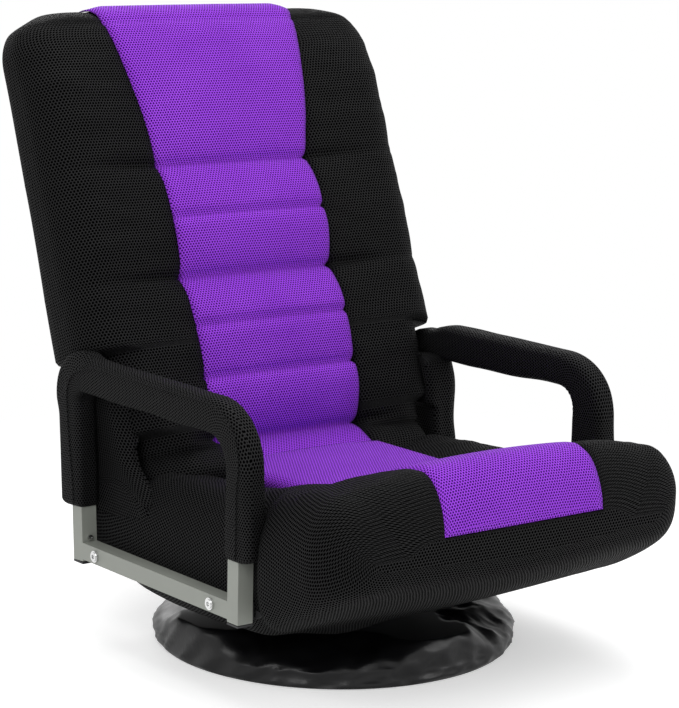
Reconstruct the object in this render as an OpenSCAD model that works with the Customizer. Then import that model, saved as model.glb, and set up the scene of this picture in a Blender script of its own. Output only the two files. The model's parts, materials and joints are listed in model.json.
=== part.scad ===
// Floor gaming chair on a low swivel base.
// Millimetres. The origin is on the floor, under the middle of the whole chair at rest; +Z is up.
// The sitter faces -Y, and the sitter's left is +X.
// The pieces are drawn from the middle of the base, and moved to the origin at the end.
// The backrest is drawn at its rest lean; it turns about a pin across the chair.

/* [Base] */
// Radius of the base ring's centre line
ring_r = 200; // [180:1:230]
// Outer diameter of the ring's round tube
ring_d = 19; // [16:0.5:24]
// Height of a rubber foot under the ring
foot_h = 5; // [3:0.5:8]
// Diameter of a rubber foot
foot_d = 16; // [12:1:24]
// Number of rubber feet
foot_n = 8; // [4:1:12]
// Side of the square tube of the base's crossed arms
arm_w = 20; // [14:1:24]
// Width of the square hub plate on the arms
hub_w = 160; // [140:1:180]
// Thickness of the hub plate
hub_t = 3; // [2:0.5:5]
// Thickness of the base's cloth cover
cover_t = 1.2; // [0.8:0.1:2]

/* [Swivel] */
// Width of the two square swivel plates
plate_w = 140; // [120:1:150]
// Thickness of a swivel plate
plate_t = 2.5; // [2:0.25:4]
// Height of a swivel plate's raised ball race
race_h = 2.5; // [2:0.25:4]
// Radius of the ball circle
race_r = 48; // [40:1:55]
// Radius of a ball
ball_r = 3; // [2.5:0.25:3.5]
// Number of balls
ball_n = 24; // [12:1:32]
// Radius of the centre rivet's shank
rivet_r = 8; // [6:0.5:12]
// Distance of the plate bolts from the middle
plate_bolt = 60; // [55:1:64]

/* [Frame tube] */
// Outside of the square steel tube
tube = 20; // [16:1:24]
// Wall of the square steel tube
wall = 1.5; // [1:0.1:2.5]

/* [Armrests] */
// Distance from the middle of the chair to an armrest tube's outer face
arm_x = 265; // [250:1:280]
// Front leg's middle, in front of the base's centre
leg_front = 158.5; // [150:0.5:170]
// Rear leg's middle at its foot, behind the base's centre
leg_rear = 155.5; // [145:0.5:165]
// Lean of the rear leg, in degrees
leg_lean = 3.2; // [0:0.1:5]
// Height of the legs' feet over the floor
leg_foot = 95.5; // [85:0.5:105]
// Height of the lower rail over the legs' feet
rail_up = 3; // [1:0.5:8]
// Height of the armrest bar's middle over the floor
bar_z = 311.5; // [295:0.5:330]
// Bend radius at the front of the bar
bend_front = 45; // [36:1:60]
// Bend radius at the rear of the bar
bend_rear = 24; // [20:1:34]
// Padding outside the tube, on the side away from the sitter
pad_out = 4; // [3:0.5:8]
// Padding on the sitter's side of the tube
pad_in = 3.6; // [2.6:0.1:6]
// Padding outside the loop: over the bar, before the front leg and behind the rear leg
pad_top = 16; // [12:0.5:18]
// Padding on the loop's inside, under the bar
pad_under = 2.5; // [2:0.1:4]
// Bottom of the padding on the front leg
pad_foot_front = 164.5; // [150:0.5:180]
// Bottom of the padding on the rear leg
pad_foot_rear = 156.5; // [145:0.5:175]
// Corner radius of the padding outside the loop
pad_r = 9; // [5:0.5:12]
// Corner radius of the padding on the loop's inside
pad_r_in = 6; // [4:0.5:6.5]
// Distance between the two armrest bolts
bolt_gap = 235; // [200:1:245]
// Diameter of an armrest bolt's shank
bolt_d = 8; // [6:0.5:10]
// Diameter of an armrest bolt's button head
bolt_head = 14; // [12:0.5:17]

/* [Recline hinge] */
// Hinge pin behind the base's centre
pin_y = 116; // [114:0.5:118]
// Height of the hinge pin
pin_z = 150; // [148:0.5:152]
// Lean of the backrest at rest, in degrees from upright
lean = 20.4; // [18:0.2:24]
// Diameter of the hinge pin
pin_d = 10; // [8:0.5:12]
// Thickness of a hinge plate
hinge_t = 3; // [2.5:0.25:3.5]
// Radius of the toothed disc
ratchet_r = 30; // [26:1:32]
// Number of ratchet notches
ratchet_n = 7; // [4:1:9]
// Radius of the backrest's round lower end
lobe_r = 79; // [74:0.5:82]

/* [Backrest] */
// Half the width over the armrests
back_half = 262; // [255:1:270]
// Half the width between the armrests
waist_half = 229; // [224:0.5:230]
// Length from the hinge pin to the top edge
back_len = 624; // [600:1:650]
// Distance from the hinge pin to the shoulder over the armrests
shoulder_u = 192.5; // [192:0.5:205]
// Depth of the cushion behind its middle plane, at the top
back_rear = 46; // [40:1:52]
// How much deeper it is at the hinge
back_deep = 12; // [4:1:16]
// Length of the top corners' round along the backrest
back_corner = 81; // [60:1:90]
// Length of the top corners' round across the backrest
back_corner_w = 108; // [80:1:110]
// Radius over which the top edge is rounded
back_crown = 30; // [20:1:40]
// Half the width of the colour panel below the head part
panel_half = 113; // [100:1:125]
// Half the width of the colour panel at the top
panel_top_half = 147; // [130:1:160]
// Thickness of the padded colour panels
panel_t = 18; // [12:1:24]
// How far the back frame's tubes end under the top edge
frame_inset = 49; // [43:1:80]

/* [Seat] */
// Front of the seat, in front of the base's centre
seat_front = 334; // [320:1:350]
// Half the width of the seat in front of the armrests
seat_half = 262; // [255:1:270]
// Plan radius of the seat's front corners
seat_corner = 56; // [40:1:70]
// Height of the seat's front crest
crest_z = 275; // [260:1:290]
// Height of the seat where the sitter sits
sit_z = 196; // [185:1:205]
// How far the side bolsters stand over the sitting surface
bolster_up = 17; // [8:1:24]
// Height of the seat's underside over the base
belly_z = 60.5; // [60:0.5:64]
// Bottom edge of the colour panel on the seat's front
panel_foot_z = 205; // [195:1:215]
// Half the width of the seat's colour panel
seat_panel_half = 115; // [100:1:125]

/* [Hidden] */
$fn = 48;

// Clearances
seat_gap = 0.3;
run_gap = 0.06;
// Radius of the holes for the swivel plates' 6 mm bolts
bolt_hole = 3.2;
soft_gap = 0.4;

// Heights of the base and the swivel, from the floor up
ring_z = foot_h + ring_d/2;
arm_z = foot_h + ring_d + seat_gap;
hub_z = arm_z + arm_w;
low_z = hub_z + hub_t;
ball_z = low_z + plate_t + race_h + 1;
up_race_z = ball_z + 1;
up_z = up_race_z + race_h;
bar_low_z = up_z + plate_t;

// Middles of the two cross bars on the upper swivel plate, along Y
bar_y = [-plate_bolt, 30];

// Places across the chair
rail_in = arm_x - tube;
side_out = rail_in - 2;
side_in = side_out - tube;
low_in = side_in - hinge_t;
up_out = low_in - 0.5;
up_in = up_out - hinge_t;
rail_z = leg_foot + rail_up;
// Pin of the ratchet's pawl, behind and below the hinge pin
pawl_pin_y = pin_y + 34;
pawl_pin_z = pin_z - 38;
pawl_pin_r = 3;
bolt_z = rail_z + tube/2;
screw_z = rail_z + tube + 5;
rear_top = leg_rear + (bar_z - leg_foot)*tan(leg_lean);
back_frame_len = back_len - frame_inset;

// Helpers

// Square tube along Y between two places, with its lowest corner at x, z
module tube_y(x, y0, y1, z) {
    translate([x, y0, z]) difference() {
        cube([tube, y1 - y0, tube]);
        translate([wall, -1, wall]) cube([tube - 2*wall, y1 - y0 + 2, tube - 2*wall]);
    }
}

// Flat shape drawn as (y, z) and made t thick from x towards +X
module plate_yz(x, t) {
    translate([x, 0, 0]) rotate([90, 0, 90]) linear_extrude(t) children();
}

// Rod along X
module rod_x(x0, x1, y, z, r) {
    translate([x0, y, z]) rotate([0, 90, 0]) cylinder(h = x1 - x0, r = r);
}

// A piece drawn on the +X side, kept there or mirrored to the other side
module sided(side) {
    if (side < 0) mirror([1, 0, 0]) children();
    else children();
}

// The same piece on both sides
module both_sides() {
    children();
    mirror([1, 0, 0]) children();
}

// Moves a piece drawn in the backrest's own axes to its place:
// x across, y forwards out of the backrest, z along it from the hinge pin
module back_place() {
    translate([0, pin_y, pin_z]) rotate([-lean, 0, 0]) mirror([0, 1, 0]) children();
}

// Closed skin over sections that have the same number of points
function flat1(l) = [for (a = l) for (b = a) b];
module skin(sections) {
    n = len(sections[0]);
    m = len(sections);
    sides = [for (i = [0:m - 2]) for (j = [0:n - 1]) let (k = (j + 1)%n)
        [[i*n + j, (i + 1)*n + j, (i + 1)*n + k], [i*n + j, (i + 1)*n + k, i*n + k]]];
    ends = [[for (j = [0:n - 1]) j], [for (j = [0:n - 1]) (m - 1)*n + n - 1 - j]];
    polyhedron(points = flat1(sections), faces = concat(flat1(sides), ends), convexity = 8);
}

// Value at s on a list of [s, value] pairs, with smooth steps between them
function ease(t) = t*t*(3 - 2*t);
function along(s, pairs, i = 0) =
    s <= pairs[0][0] ? pairs[0][1]
    : i >= len(pairs) - 1 ? pairs[len(pairs) - 1][1]
    : s > pairs[i + 1][0] ? along(s, pairs, i + 1)
    : pairs[i][1] + (pairs[i + 1][1] - pairs[i][1])
        *ease((s - pairs[i][0])/(pairs[i + 1][0] - pairs[i][0]));

// Height at s on a row of padded cells, each between two stitched seams:
// a seam is [place, height of the stitch, rise of the cell that follows]
function padded(s, seams, i = 0) =
    s <= seams[0][0] ? seams[0][1]
    : i >= len(seams) - 1 ? seams[len(seams) - 1][1]
    : s > seams[i + 1][0] ? padded(s, seams, i + 1)
    : let (t = (s - seams[i][0])/(seams[i + 1][0] - seams[i][0]))
        seams[i][1] + (seams[i + 1][1] - seams[i][1])*t + seams[i][2]*sqrt(sin(180*t));

// Quarter round from 1 to 0 while t goes from 0 to 1
function quarter(t) = sqrt(max(0, 1 - t*t));

// One half section of a stuffed cushion with a recess of half width p:
// points from the recess's floor, over the bolster and round the side, to the bottom.
// w half width, top and bottom heights, q the floor of the recess, up the bolster's rise,
// under_r and square the size and squareness of the lower edge
function half_section(w, top, bottom, p, q, up, side_r, under_r, square) =
    let (mid = bottom + 0.55*(top - bottom), r = max(2, min(side_r, w - p - 6)), c = w - r,
        low_r = min(under_r, w - p - 6))
    concat([[p, q], [p, top - 1.5]],
        [for (f = [0.3, 0.65, 1]) [p + (c - p)*f, top + up*(up < 0 ? f*f : sin(90*f))]],
        [for (a = [70, 48, 24, 0]) [c + r*cos(a), mid + (top + up - mid)*sin(a)]],
        [for (a = [24, 48, 70, 90]) [w - low_r + low_r*pow(cos(a), square),
            mid - (mid - bottom)*pow(sin(a), square)]]);

// A whole section from its half
function whole(h) = concat(h, [for (i = [len(h) - 1:-1:0]) [-h[i][0], h[i][1]]]);

// The same points the other way round
function turned(l) = [for (i = [len(l) - 1:-1:0]) l[i]];

// Section of a padded panel of half width p: a crowned top over a flat floor
function panel_section(p, top, floor_z, crown) = concat(
    [for (f = [1, 0.8, 0.45, 0, -0.45, -0.8, -1]) [p*f, top + crown*(1 - f*f)]],
    [[-p, floor_z], [p, floor_z]]);

// The cushions' skins stay this far inside the round lower end, and puff up over it
seam_dip = 1.5;

// Backrest's stitched seams, from the hinge pin up
head_u = 411;
mid_u = 344;
waist_u = 271;
low_u = 210;
lumbar_u = 146;
foot_u = 71;
crease_u = 18;
crease_v = sqrt(lobe_r*lobe_r - crease_u*crease_u);
back_seams = [[crease_u, crease_v - seam_dip, 6], [foot_u, 28, 15], [lumbar_u, 52, 6], [low_u, 58, 8],
    [waist_u, 38, 11], [mid_u, 54, 8], [head_u, 35, 15], [back_len - back_crown, 28, 0]];
bolster_seams = [[crease_u, crease_v - seam_dip, 5], [foot_u, 42, 16], [waist_u, 44, 12],
    [head_u, 40, 12], [back_len - back_crown, 26, 0]];
// Length along the backrest over which the shoulder widens
shoulder_r = 16;
back_stations = [-76, -68, -52, -30, -8, crease_u, 26, 40, 54, 64, foot_u, 78, 83, 86, 100, 123,
    lumbar_u, 168, shoulder_u - 4, shoulder_u, shoulder_u + 3, shoulder_u + 8,
    shoulder_u + shoulder_r, 235, 253, waist_u, 290, 320, mid_u, 368, 395, head_u, 428, 460, 505,
    back_len - 81, back_len - 62, back_len - 44, back_len - back_crown, back_len - 22, back_len - 12,
    back_len - 5, back_len - 1];
// Height over the middle plane's rear part at which the top edge closes
close_v = -8;

// How much of its full puff a cell has, so that the round lower end stays round
function puff(u) = along(u, [[crease_u, 0], [foot_u, 1]]);
function lobe_v(u) = sqrt(max(lobe_r*lobe_r - u*u, 1));
function crown_k(u) = u < back_len - back_crown ? 1
    : quarter((u - back_len + back_crown)/back_crown);
function back_w(u) = u <= 84 ? up_in - 0.3
    : u < shoulder_u ? waist_half
    : u < shoulder_u + shoulder_r
        ? waist_half + (back_half - waist_half)*quarter(1 - (u - shoulder_u)/shoulder_r)
    : u <= back_len - back_corner ? back_half
    : back_half - back_corner_w
        + back_corner_w*quarter((u - back_len + back_corner)/back_corner);
function back_top(u, seams) = u <= crease_u ? lobe_v(u) - seam_dip
    : u < foot_u - 6 ? min(padded(u, seams), lobe_v(u) - seam_dip - 2.4*puff(u))
    : close_v + (padded(u, seams) - close_v)*crown_k(u);
function back_depth(u) = along(u, [[0, back_rear], [84, back_rear + back_deep],
    [200, back_rear + 0.8*back_deep], [400, back_rear + 2], [560, back_rear]]);
function back_bottom(u) = u < 0 ? -min(back_rear, lobe_v(u))
    : close_v - (back_depth(u) + close_v)*crown_k(u);
function back_p(u) = u <= head_u ? panel_half
    : panel_half + (panel_top_half - panel_half)*(u - head_u)/(back_len - head_u);
wrap_u = back_len - 16;

// Seat's outline from the side: places are along Y
seat_rear = 172;
leg_room = 11;
belly_front = -145;
sit_pairs = [[-seat_front, 205], [-329, 214], [-320, 240], [-308, 260], [-288, crest_z],
    [-250, crest_z - 8], [-200, crest_z - 27], [-150, crest_z - 46], [-96, sit_z + 14],
    [-50, sit_z + 1], [0, sit_z], [50, sit_z - 3], [155, 178], [seat_rear, 150]];
belly_pairs = [[-seat_front, 172], [-330, 157], [-318, 142], [-296, 123], [-260, 105],
    [-220, 89], [-180, 74], [belly_front, belly_z], [60, belly_z + 4], [110, belly_z + 16], [150, 96],
    [seat_rear, 130]];
function pair_line(s, pairs, i = 0) =
    s <= pairs[0][0] ? pairs[0][1]
    : i >= len(pairs) - 1 ? pairs[len(pairs) - 1][1]
    : s > pairs[i + 1][0] ? pair_line(s, pairs, i + 1)
    : pairs[i][1] + (pairs[i + 1][1] - pairs[i][1])*(s - pairs[i][0])
        /(pairs[i + 1][0] - pairs[i][0]);
seat_stations = [-seat_front, -332, -329, -325, -320, -314, -308, -299, -288, -275, -262, -250,
    -225, -205, -leg_front - leg_room - 22, -leg_front - leg_room - 15, -leg_front - leg_room - 8,
    -leg_front - leg_room, -145, -125, -96, -72, -50, -25, 0, 25, 50, 80, 110, 132, 150, 163, seat_rear];
function seat_w(y) = y > -leg_front - leg_room ? rail_in - soft_gap
    : y > -leg_front - leg_room - 22 ? rail_in - soft_gap
        + (seat_half - rail_in + soft_gap)*ease((-leg_front - leg_room - y)/22)
    : y > -seat_front + seat_corner ? seat_half
    : seat_half - seat_corner + seat_corner*quarter((-seat_front + seat_corner - y)/seat_corner);
function seat_up(y) = along(y, [[-300, -16], [-230, -8], [-150, bolster_up*0.5], [-60, bolster_up],
    [60, bolster_up], [130, 0]]);
nose_y = -316;

// Base

module base_feet() {
    color("#1b1b1b") for (i = [0:foot_n - 1]) rotate(360/foot_n*(i + 0.5))
        translate([ring_r, 0, 0]) cylinder(h = foot_h - seat_gap, d = foot_d);
}

module base_ring() {
    color("#2a2a2c") translate([0, 0, ring_z]) rotate_extrude($fn = 96)
        translate([ring_r, 0]) circle(d = ring_d);
}

module base_arms() {
    color("#2a2a2c") {
        long = 2*ring_r - 8;
        translate([-long/2, -arm_w/2, arm_z]) cube([long, arm_w, arm_w]);
        for (y = [-long/2, arm_w/2]) translate([-arm_w/2, y, arm_z])
            cube([arm_w, long/2 - arm_w/2, arm_w]);
    }
}

module base_hub_plate() {
    color("#303033") difference() {
        translate([-hub_w/2, -hub_w/2, hub_z]) cube([hub_w, hub_w, hub_t]);
        for (x = [-1, 1]) for (y = [-1, 1]) translate([x*plate_bolt, y*plate_bolt, hub_z - 1])
            cylinder(h = hub_t + 2, r = bolt_hole);
        translate([0, 0, hub_z - 1]) cylinder(h = hub_t + 2, r = rivet_r + 6.5);
    }
}

// Cloth cover: a skirt from the floor over the ring and the arms to a hemmed hole
module base_cover() {
    rim = ring_r + ring_d/2 + 0.8;
    top = hub_z + seat_gap;
    hole = hub_w/2*sqrt(2) + 3;
    outer = [[rim + cover_t + 0.2, 0.4], [rim + cover_t + 0.8, 9], [rim + cover_t - 1, 22],
        [rim - 6, 37], [rim - 10, top + cover_t - 0.2], [rim - 17, top + cover_t],
        [hole, top + cover_t + 1.6]];
    inner = [for (i = [len(outer) - 1:-1:0])
        [outer[i][0] - (i < 5 ? cover_t : i == 5 ? 0.5 : 0), outer[i][1] - (i < 4 ? 0 : cover_t)]];
    color("#18181b") rotate_extrude($fn = 72) polygon(concat(outer, inner));
}

// Swivel

module race(z0, z1) {
    difference() {
        translate([0, 0, z0]) difference() {
            cylinder(h = z1 - z0, r = race_r + 7);
            translate([0, 0, -1]) cylinder(h = z1 - z0 + 2, r = race_r - 7);
        }
        translate([0, 0, ball_z]) rotate_extrude($fn = 96)
            translate([race_r, 0]) circle(r = ball_r + run_gap);
    }
}

module swivel_plate(z, rows) {
    difference() {
        translate([-plate_w/2, -plate_w/2, z]) cube([plate_w, plate_w, plate_t]);
        translate([0, 0, z - 1]) cylinder(h = plate_t + 2, r = rivet_r + run_gap);
        for (x = [-1, 1]) for (y = rows) translate([x*plate_bolt, y, z - 1])
            cylinder(h = plate_t + 2, r = bolt_hole);
    }
}

module swivel_lower_plate() {
    color("#8e9092") {
        swivel_plate(low_z, [-plate_bolt, plate_bolt]);
        race(low_z + plate_t, ball_z - 1);
    }
}

module swivel_upper_plate() {
    color("#8e9092") {
        swivel_plate(up_z, bar_y);
        race(up_race_z, up_z);
    }
}

module swivel_lower_bolts() {
    color("#b8babd") for (x = [-1, 1]) for (y = [-1, 1]) translate([x*plate_bolt, y*plate_bolt, 0]) {
        translate([0, 0, hub_z - 4]) cylinder(h = low_z + plate_t - hub_z + 4, r = 3);
        translate([0, 0, low_z + plate_t]) cylinder(h = 2.5, r = 5.5);
    }
}

module swivel_upper_bolts() {
    color("#b8babd") for (x = [-1, 1]) for (y = bar_y) translate([x*plate_bolt, y, 0]) {
        translate([0, 0, up_z - 0.1]) cylinder(h = plate_t + 8, r = 3);
        translate([0, 0, up_z - 2.4]) cylinder(h = 2.4, r = 5.5);
    }
}

module swivel_ball_cage() {
    color("#c9a24a") difference() {
        translate([0, 0, ball_z - 0.5]) cylinder(h = 1, r = race_r + 5);
        translate([0, 0, ball_z - 1]) cylinder(h = 2, r = race_r - 5);
        for (i = [0:ball_n - 1]) rotate(360/ball_n*i) translate([race_r, 0, ball_z - 1])
            cylinder(h = 2, r = ball_r + 0.15);
    }
}

module swivel_balls() {
    color("#d9dbde") for (i = [0:ball_n - 1]) rotate(360/ball_n*i)
        translate([race_r, 0, ball_z]) sphere(r = ball_r);
}

module swivel_rivet() {
    color("#a9abae") difference() {
        union() {
            translate([0, 0, low_z - hub_t]) cylinder(h = hub_t - 0.1, r = rivet_r + 5);
            translate([0, 0, low_z - 0.2]) cylinder(h = bar_low_z - low_z + 0.5, r = rivet_r);
            translate([0, 0, bar_low_z + 0.2]) cylinder(h = 2.5, r = rivet_r + 5);
        }
        translate([0, 0, hub_z - 1]) cylinder(h = 40, r = rivet_r - 2);
    }
}

// Seat frame

// Cross bar, dished down in the middle to the swivel plate
module cross_bar(y) {
    reach = side_in - 0.2;
    turn = 150;
    points = [[turn, bar_low_z], [reach, rail_z], [reach, rail_z + tube], [turn - 6, bar_low_z + tube],
        [6 - turn, bar_low_z + tube], [-reach, rail_z + tube], [-reach, rail_z], [-turn, bar_low_z]];
    color("#2a2a2c") translate([0, y + tube/2, 0]) rotate([90, 0, 0]) difference() {
        linear_extrude(tube) polygon(points);
        for (x = [-1, 1]) translate([x*plate_bolt, bar_low_z - 1, tube/2]) rotate([-90, 0, 0])
            cylinder(h = 10, r = bolt_hole);
    }
}

module seat_cross_bar_front() {
    cross_bar(bar_y[0]);
}

module seat_cross_bar_rear() {
    cross_bar(bar_y[1]);
}

// Side tube, drilled for the two armrest bolts
module side_tube(side) {
    color("#2a2a2c") sided(side) difference() {
        tube_y(side_in, -leg_front - 8, pin_y + 14, rail_z);
        for (y = [-1, 1]) rod_x(side_in - 1, side_out + 1, y*bolt_gap/2, bolt_z, bolt_d/2 + 0.2);
    }
}

module seat_side_tube_left() {
    side_tube(1);
}

module seat_side_tube_right() {
    side_tube(-1);
}

// Loop of tube that carries the raised front of the seat
front_rise = 26;
module seat_front_tube() {
    y0 = -leg_front - 8.3;
    reach = 96;
    half = side_out - 3;
    color("#2a2a2c") difference() {
        translate([0, y0, rail_z]) rotate([-front_rise, 0, 0]) linear_extrude(tube)
            polygon([[half, 9], [half, 14 - reach], [half - 14, -reach], [14 - half, -reach],
                [-half, 14 - reach], [-half, 9], [tube - half, 9], [tube - half, tube - reach],
                [half - tube, tube - reach], [half - tube, 9]]);
        translate([-half - 1, y0, 0]) cube([2*half + 2, 100, rail_z + 2*tube]);
    }
}

// Recline hinge

module lower_bracket(side) {
    color("#3a3b3e") sided(side) difference() {
        plate_yz(low_in, hinge_t) difference() {
            polygon([[pin_y - 58, rail_z], [pin_y + 36, rail_z], [pin_y + 44, pawl_pin_z - 6],
                [pin_y + 44, pawl_pin_z + 8], [pin_y + 24, pin_z - 6], [pin_y + 20, pin_z + 14],
                [pin_y + 8, pin_z + 23], [pin_y - 8, pin_z + 23], [pin_y - 20, pin_z + 14],
                [pin_y - 26, pin_z - 8], [pin_y - 34, rail_z + tube], [pin_y - 58, rail_z + tube]]);
            translate([pin_y, pin_z]) circle(d = pin_d + 2*run_gap);
            translate([bolt_gap/2, bolt_z]) circle(d = bolt_d + 0.4);
            translate([pawl_pin_y, pawl_pin_z]) circle(r = pawl_pin_r + run_gap);
        }
    }
}

module hinge_lower_bracket_left() {
    lower_bracket(1);
}

module hinge_lower_bracket_right() {
    lower_bracket(-1);
}

// Toothed disc with the arm that is welded to the back's side tube
module upper_bracket(side) {
    color("#55575a") sided(side) back_place() translate([up_in, 0, 0])
        rotate([90, 0, 90]) linear_extrude(hinge_t) difference() {
            union() {
                circle(r = ratchet_r);
                translate([-tube/2, 0]) square([tube, 72]);
            }
            circle(d = pin_d + 2*run_gap);
            for (i = [0:ratchet_n - 1]) rotate(-145 - 15*i)
                translate([ratchet_r, 0]) polygon([[-4, 0], [2, -3], [2, 1]]);
        }
}

module hinge_upper_bracket_left() {
    upper_bracket(1);
}

module hinge_upper_bracket_right() {
    upper_bracket(-1);
}

module hinge_pins() {
    color("#b8babd") both_sides() {
        rod_x(up_in - tube - 7, side_in + 0.1, pin_y, pin_z, pin_d/2);
        rod_x(side_in, side_in + 3, pin_y, pin_z, 8);
    }
}

module hinge_pin_nuts() {
    color("#b8babd") both_sides() difference() {
        translate([up_in - tube - 6.5, pin_y, pin_z]) rotate([0, 90, 0]) cylinder(h = 6, r = 9, $fn = 6);
        rod_x(up_in - tube - 7.5, up_in - tube, pin_y, pin_z, pin_d/2 + run_gap);
    }
}

// Pawl that rocks on its own pin behind the toothed disc
module hinge_pawls() {
    color("#55575a") both_sides() plate_yz(up_in, hinge_t - 0.2) difference() {
        union() {
            translate([pawl_pin_y, pawl_pin_z]) circle(r = 7);
            polygon([[pawl_pin_y - 6, pawl_pin_z + 3], [pawl_pin_y + 6, pawl_pin_z + 3],
                [pin_y + ratchet_r + 1, pin_z - 16], [pin_y + ratchet_r - 3.2, pin_z - 17],
                [pin_y + ratchet_r - 4, pin_z - 20]]);
        }
        translate([pawl_pin_y, pawl_pin_z]) circle(r = pawl_pin_r + run_gap);
    }
}

module hinge_pawl_pins() {
    color("#b8babd") both_sides() {
        rod_x(up_in - 0.2, side_in - 0.2, pawl_pin_y, pawl_pin_z, pawl_pin_r);
    }
}

module hinge_pawl_springs() {
    color("#c8cacc") both_sides() translate([up_in + hinge_t/2, pawl_pin_y - 7.4, pawl_pin_z - 4])
        rotate([90, 0, 0]) difference() {
            cylinder(h = 14, r = 1.3);
            translate([0, 0, -1]) cylinder(h = 16, r = 0.8);
        }
}

// Armrests

// Points round the armrest's loop, from the front leg's end to the rear leg's end,
// each with its outward direction: [y, z, outward y, outward z]
front_bend = [-leg_front + bend_front, bar_z - bend_front];
rear_bend = [rear_top - bend_rear*tan(leg_lean) - bend_rear/cos(leg_lean), bar_z - bend_rear];
bend_steps = 6;
function on_bend(c, r, a) = [c[0] + r*cos(a), c[1] + r*sin(a), cos(a), sin(a)];
function loop_path(z_front, z_rear) =
    let (turn = 90 + leg_lean, last = on_bend(rear_bend, bend_rear, -leg_lean), down = last[1] - z_rear)
    concat([[-leg_front, z_front, -1, 0]],
        [for (i = [0:bend_steps]) on_bend(front_bend, bend_front, 180 - 90*i/bend_steps)],
        [for (i = [0:bend_steps]) on_bend(rear_bend, bend_rear, 90 - turn*i/bend_steps)],
        [[last[0] - down*tan(leg_lean), z_rear, last[2], last[3]]]);

// Sweeps a flat shape round that loop; its points are [outwards from the loop, across the chair]
module loop_sweep(z_front, z_rear, shape) {
    skin([for (p = loop_path(z_front, z_rear))
        [for (s = shape) [s[1], p[0] + s[0]*p[2], p[1] + s[0]*p[3]]]]);
}

function tube_section(w) = [for (a = [45:90:315]) [w/2*sign(sin(a)), arm_x - tube/2 - w/2*sign(cos(a))]];

// Padded sleeve's section, with rounded corners
pad_lo = [-tube/2 - pad_under, arm_x - tube - pad_in];
pad_hi = [tube/2 + pad_top, arm_x + pad_out];
function pad_section() = [for (i = [0:3]) for (a = [0:30:90])
    let (r = i == 0 || i == 3 ? pad_r : pad_r_in)
    [(i == 0 || i == 3 ? pad_hi[0] - r : pad_lo[0] + r) + r*cos(90*i + a),
        (i < 2 ? pad_hi[1] - r : pad_lo[1] + r) + r*sin(90*i + a)]];

module armrest_frame(side) {
    bore = tube - 2*wall;
    color("#9a9d95") sided(side) difference() {
        loop_sweep(leg_foot, leg_foot, tube_section(tube));
        loop_sweep(leg_foot - 1, leg_foot - 1, tube_section(bore));
    }
}

module armrest_frame_left() {
    armrest_frame(1);
}

module armrest_frame_right() {
    armrest_frame(-1);
}

module armrest_rail(side) {
    y0 = -leg_front + tube/2;
    low = leg_rear - tube/2/cos(leg_lean) + (rail_z - leg_foot)*tan(leg_lean);
    color("#9a9d95") sided(side) difference() {
        plate_yz(rail_in, tube) polygon([[y0, rail_z], [low, rail_z],
            [low + tube*tan(leg_lean), rail_z + tube], [y0, rail_z + tube]]);
        translate([rail_in + wall, y0 + 1, rail_z + wall])
            cube([tube - 2*wall, low - y0 - 2, tube - 2*wall]);
        for (y = [-1, 1]) rod_x(rail_in - 1, arm_x + 1, y*bolt_gap/2, bolt_z, bolt_d/2 + 0.2);
    }
}

module armrest_rail_left() {
    armrest_rail(1);
}

module armrest_rail_right() {
    armrest_rail(-1);
}

module armrest_pad(side) {
    color("#161616") sided(side) difference() {
        loop_sweep(pad_foot_front, pad_foot_rear, pad_section());
        loop_sweep(pad_foot_front - 1, pad_foot_rear - 1, tube_section(tube + 2*seat_gap));
    }
}

module armrest_pad_left() {
    armrest_pad(1);
}

module armrest_pad_right() {
    armrest_pad(-1);
}

module armrest_bolts(side) {
    color("#d8dadb") sided(side) for (y = [-1, 1]) difference() {
        union() {
            rod_x(low_in - 4, arm_x + 0.1, y*bolt_gap/2, bolt_z, bolt_d/2);
            rod_x(arm_x, arm_x + 3, y*bolt_gap/2, bolt_z, bolt_head/2);
            rod_x(arm_x + 3, arm_x + 4.2, y*bolt_gap/2, bolt_z, bolt_head/2 - 1.6);
        }
        translate([arm_x + 1.6, y*bolt_gap/2, bolt_z]) rotate([0, 90, 0]) cylinder(h = 4, r = 2.9, $fn = 6);
    }
}

module armrest_bolts_left() {
    armrest_bolts(1);
}

module armrest_bolts_right() {
    armrest_bolts(-1);
}

module armrest_nuts() {
    color("#b8babd") both_sides() for (y = [-1, 1]) {
        top = y > 0 ? low_in : side_in;
        difference() {
            translate([top - 3.6, y*bolt_gap/2, bolt_z]) rotate([0, 90, 0])
                cylinder(h = 3.6, r = 7.2, $fn = 6);
            rod_x(top - 5, top + 1, y*bolt_gap/2, bolt_z, bolt_d/2 + run_gap);
        }
    }
}

// Small screw in the front face of each rear leg, just over the rail
module armrest_screws() {
    y = leg_rear - tube/2/cos(leg_lean) + (screw_z - leg_foot)*tan(leg_lean);
    color("#d8dadb") both_sides() translate([arm_x - tube/2, y - 0.35, screw_z]) rotate([90, 0, 0])
        difference() {
            cylinder(h = 1.8, r = 3.5);
            translate([-2.5, -0.4, 1]) cube([5, 0.8, 2]);
        }
}

module armrest_foot_plugs() {
    in_w = tube - 2*wall - 3*seat_gap;
    color("#202022") both_sides() for (y = [-leg_front, leg_rear + 0.4]) {
        translate([arm_x - tube/2 - in_w/2, y - in_w/2, leg_foot]) cube([in_w, in_w, 4]);
        translate([arm_x - tube, y - tube/2, leg_foot - 3]) cube([tube, tube, 2.1]);
        translate([arm_x - tube/2 - 4, y - 4, leg_foot - 1]) cube([8, 8, 1.2]);
    }
}

// Backrest frame

module back_side_tube(side) {
    color("#2a2a2c") sided(side) back_place() difference() {
        translate([up_in - tube, -tube/2, -14]) cube([tube, tube, back_frame_len + 14]);
        translate([up_in - tube + wall, -tube/2 + wall, -15])
            cube([tube - 2*wall, tube - 2*wall, back_frame_len + 16]);
        rod_x(up_in - tube - 1, up_in + 1, 0, 0, pin_d/2 + run_gap);
    }
}

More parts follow.
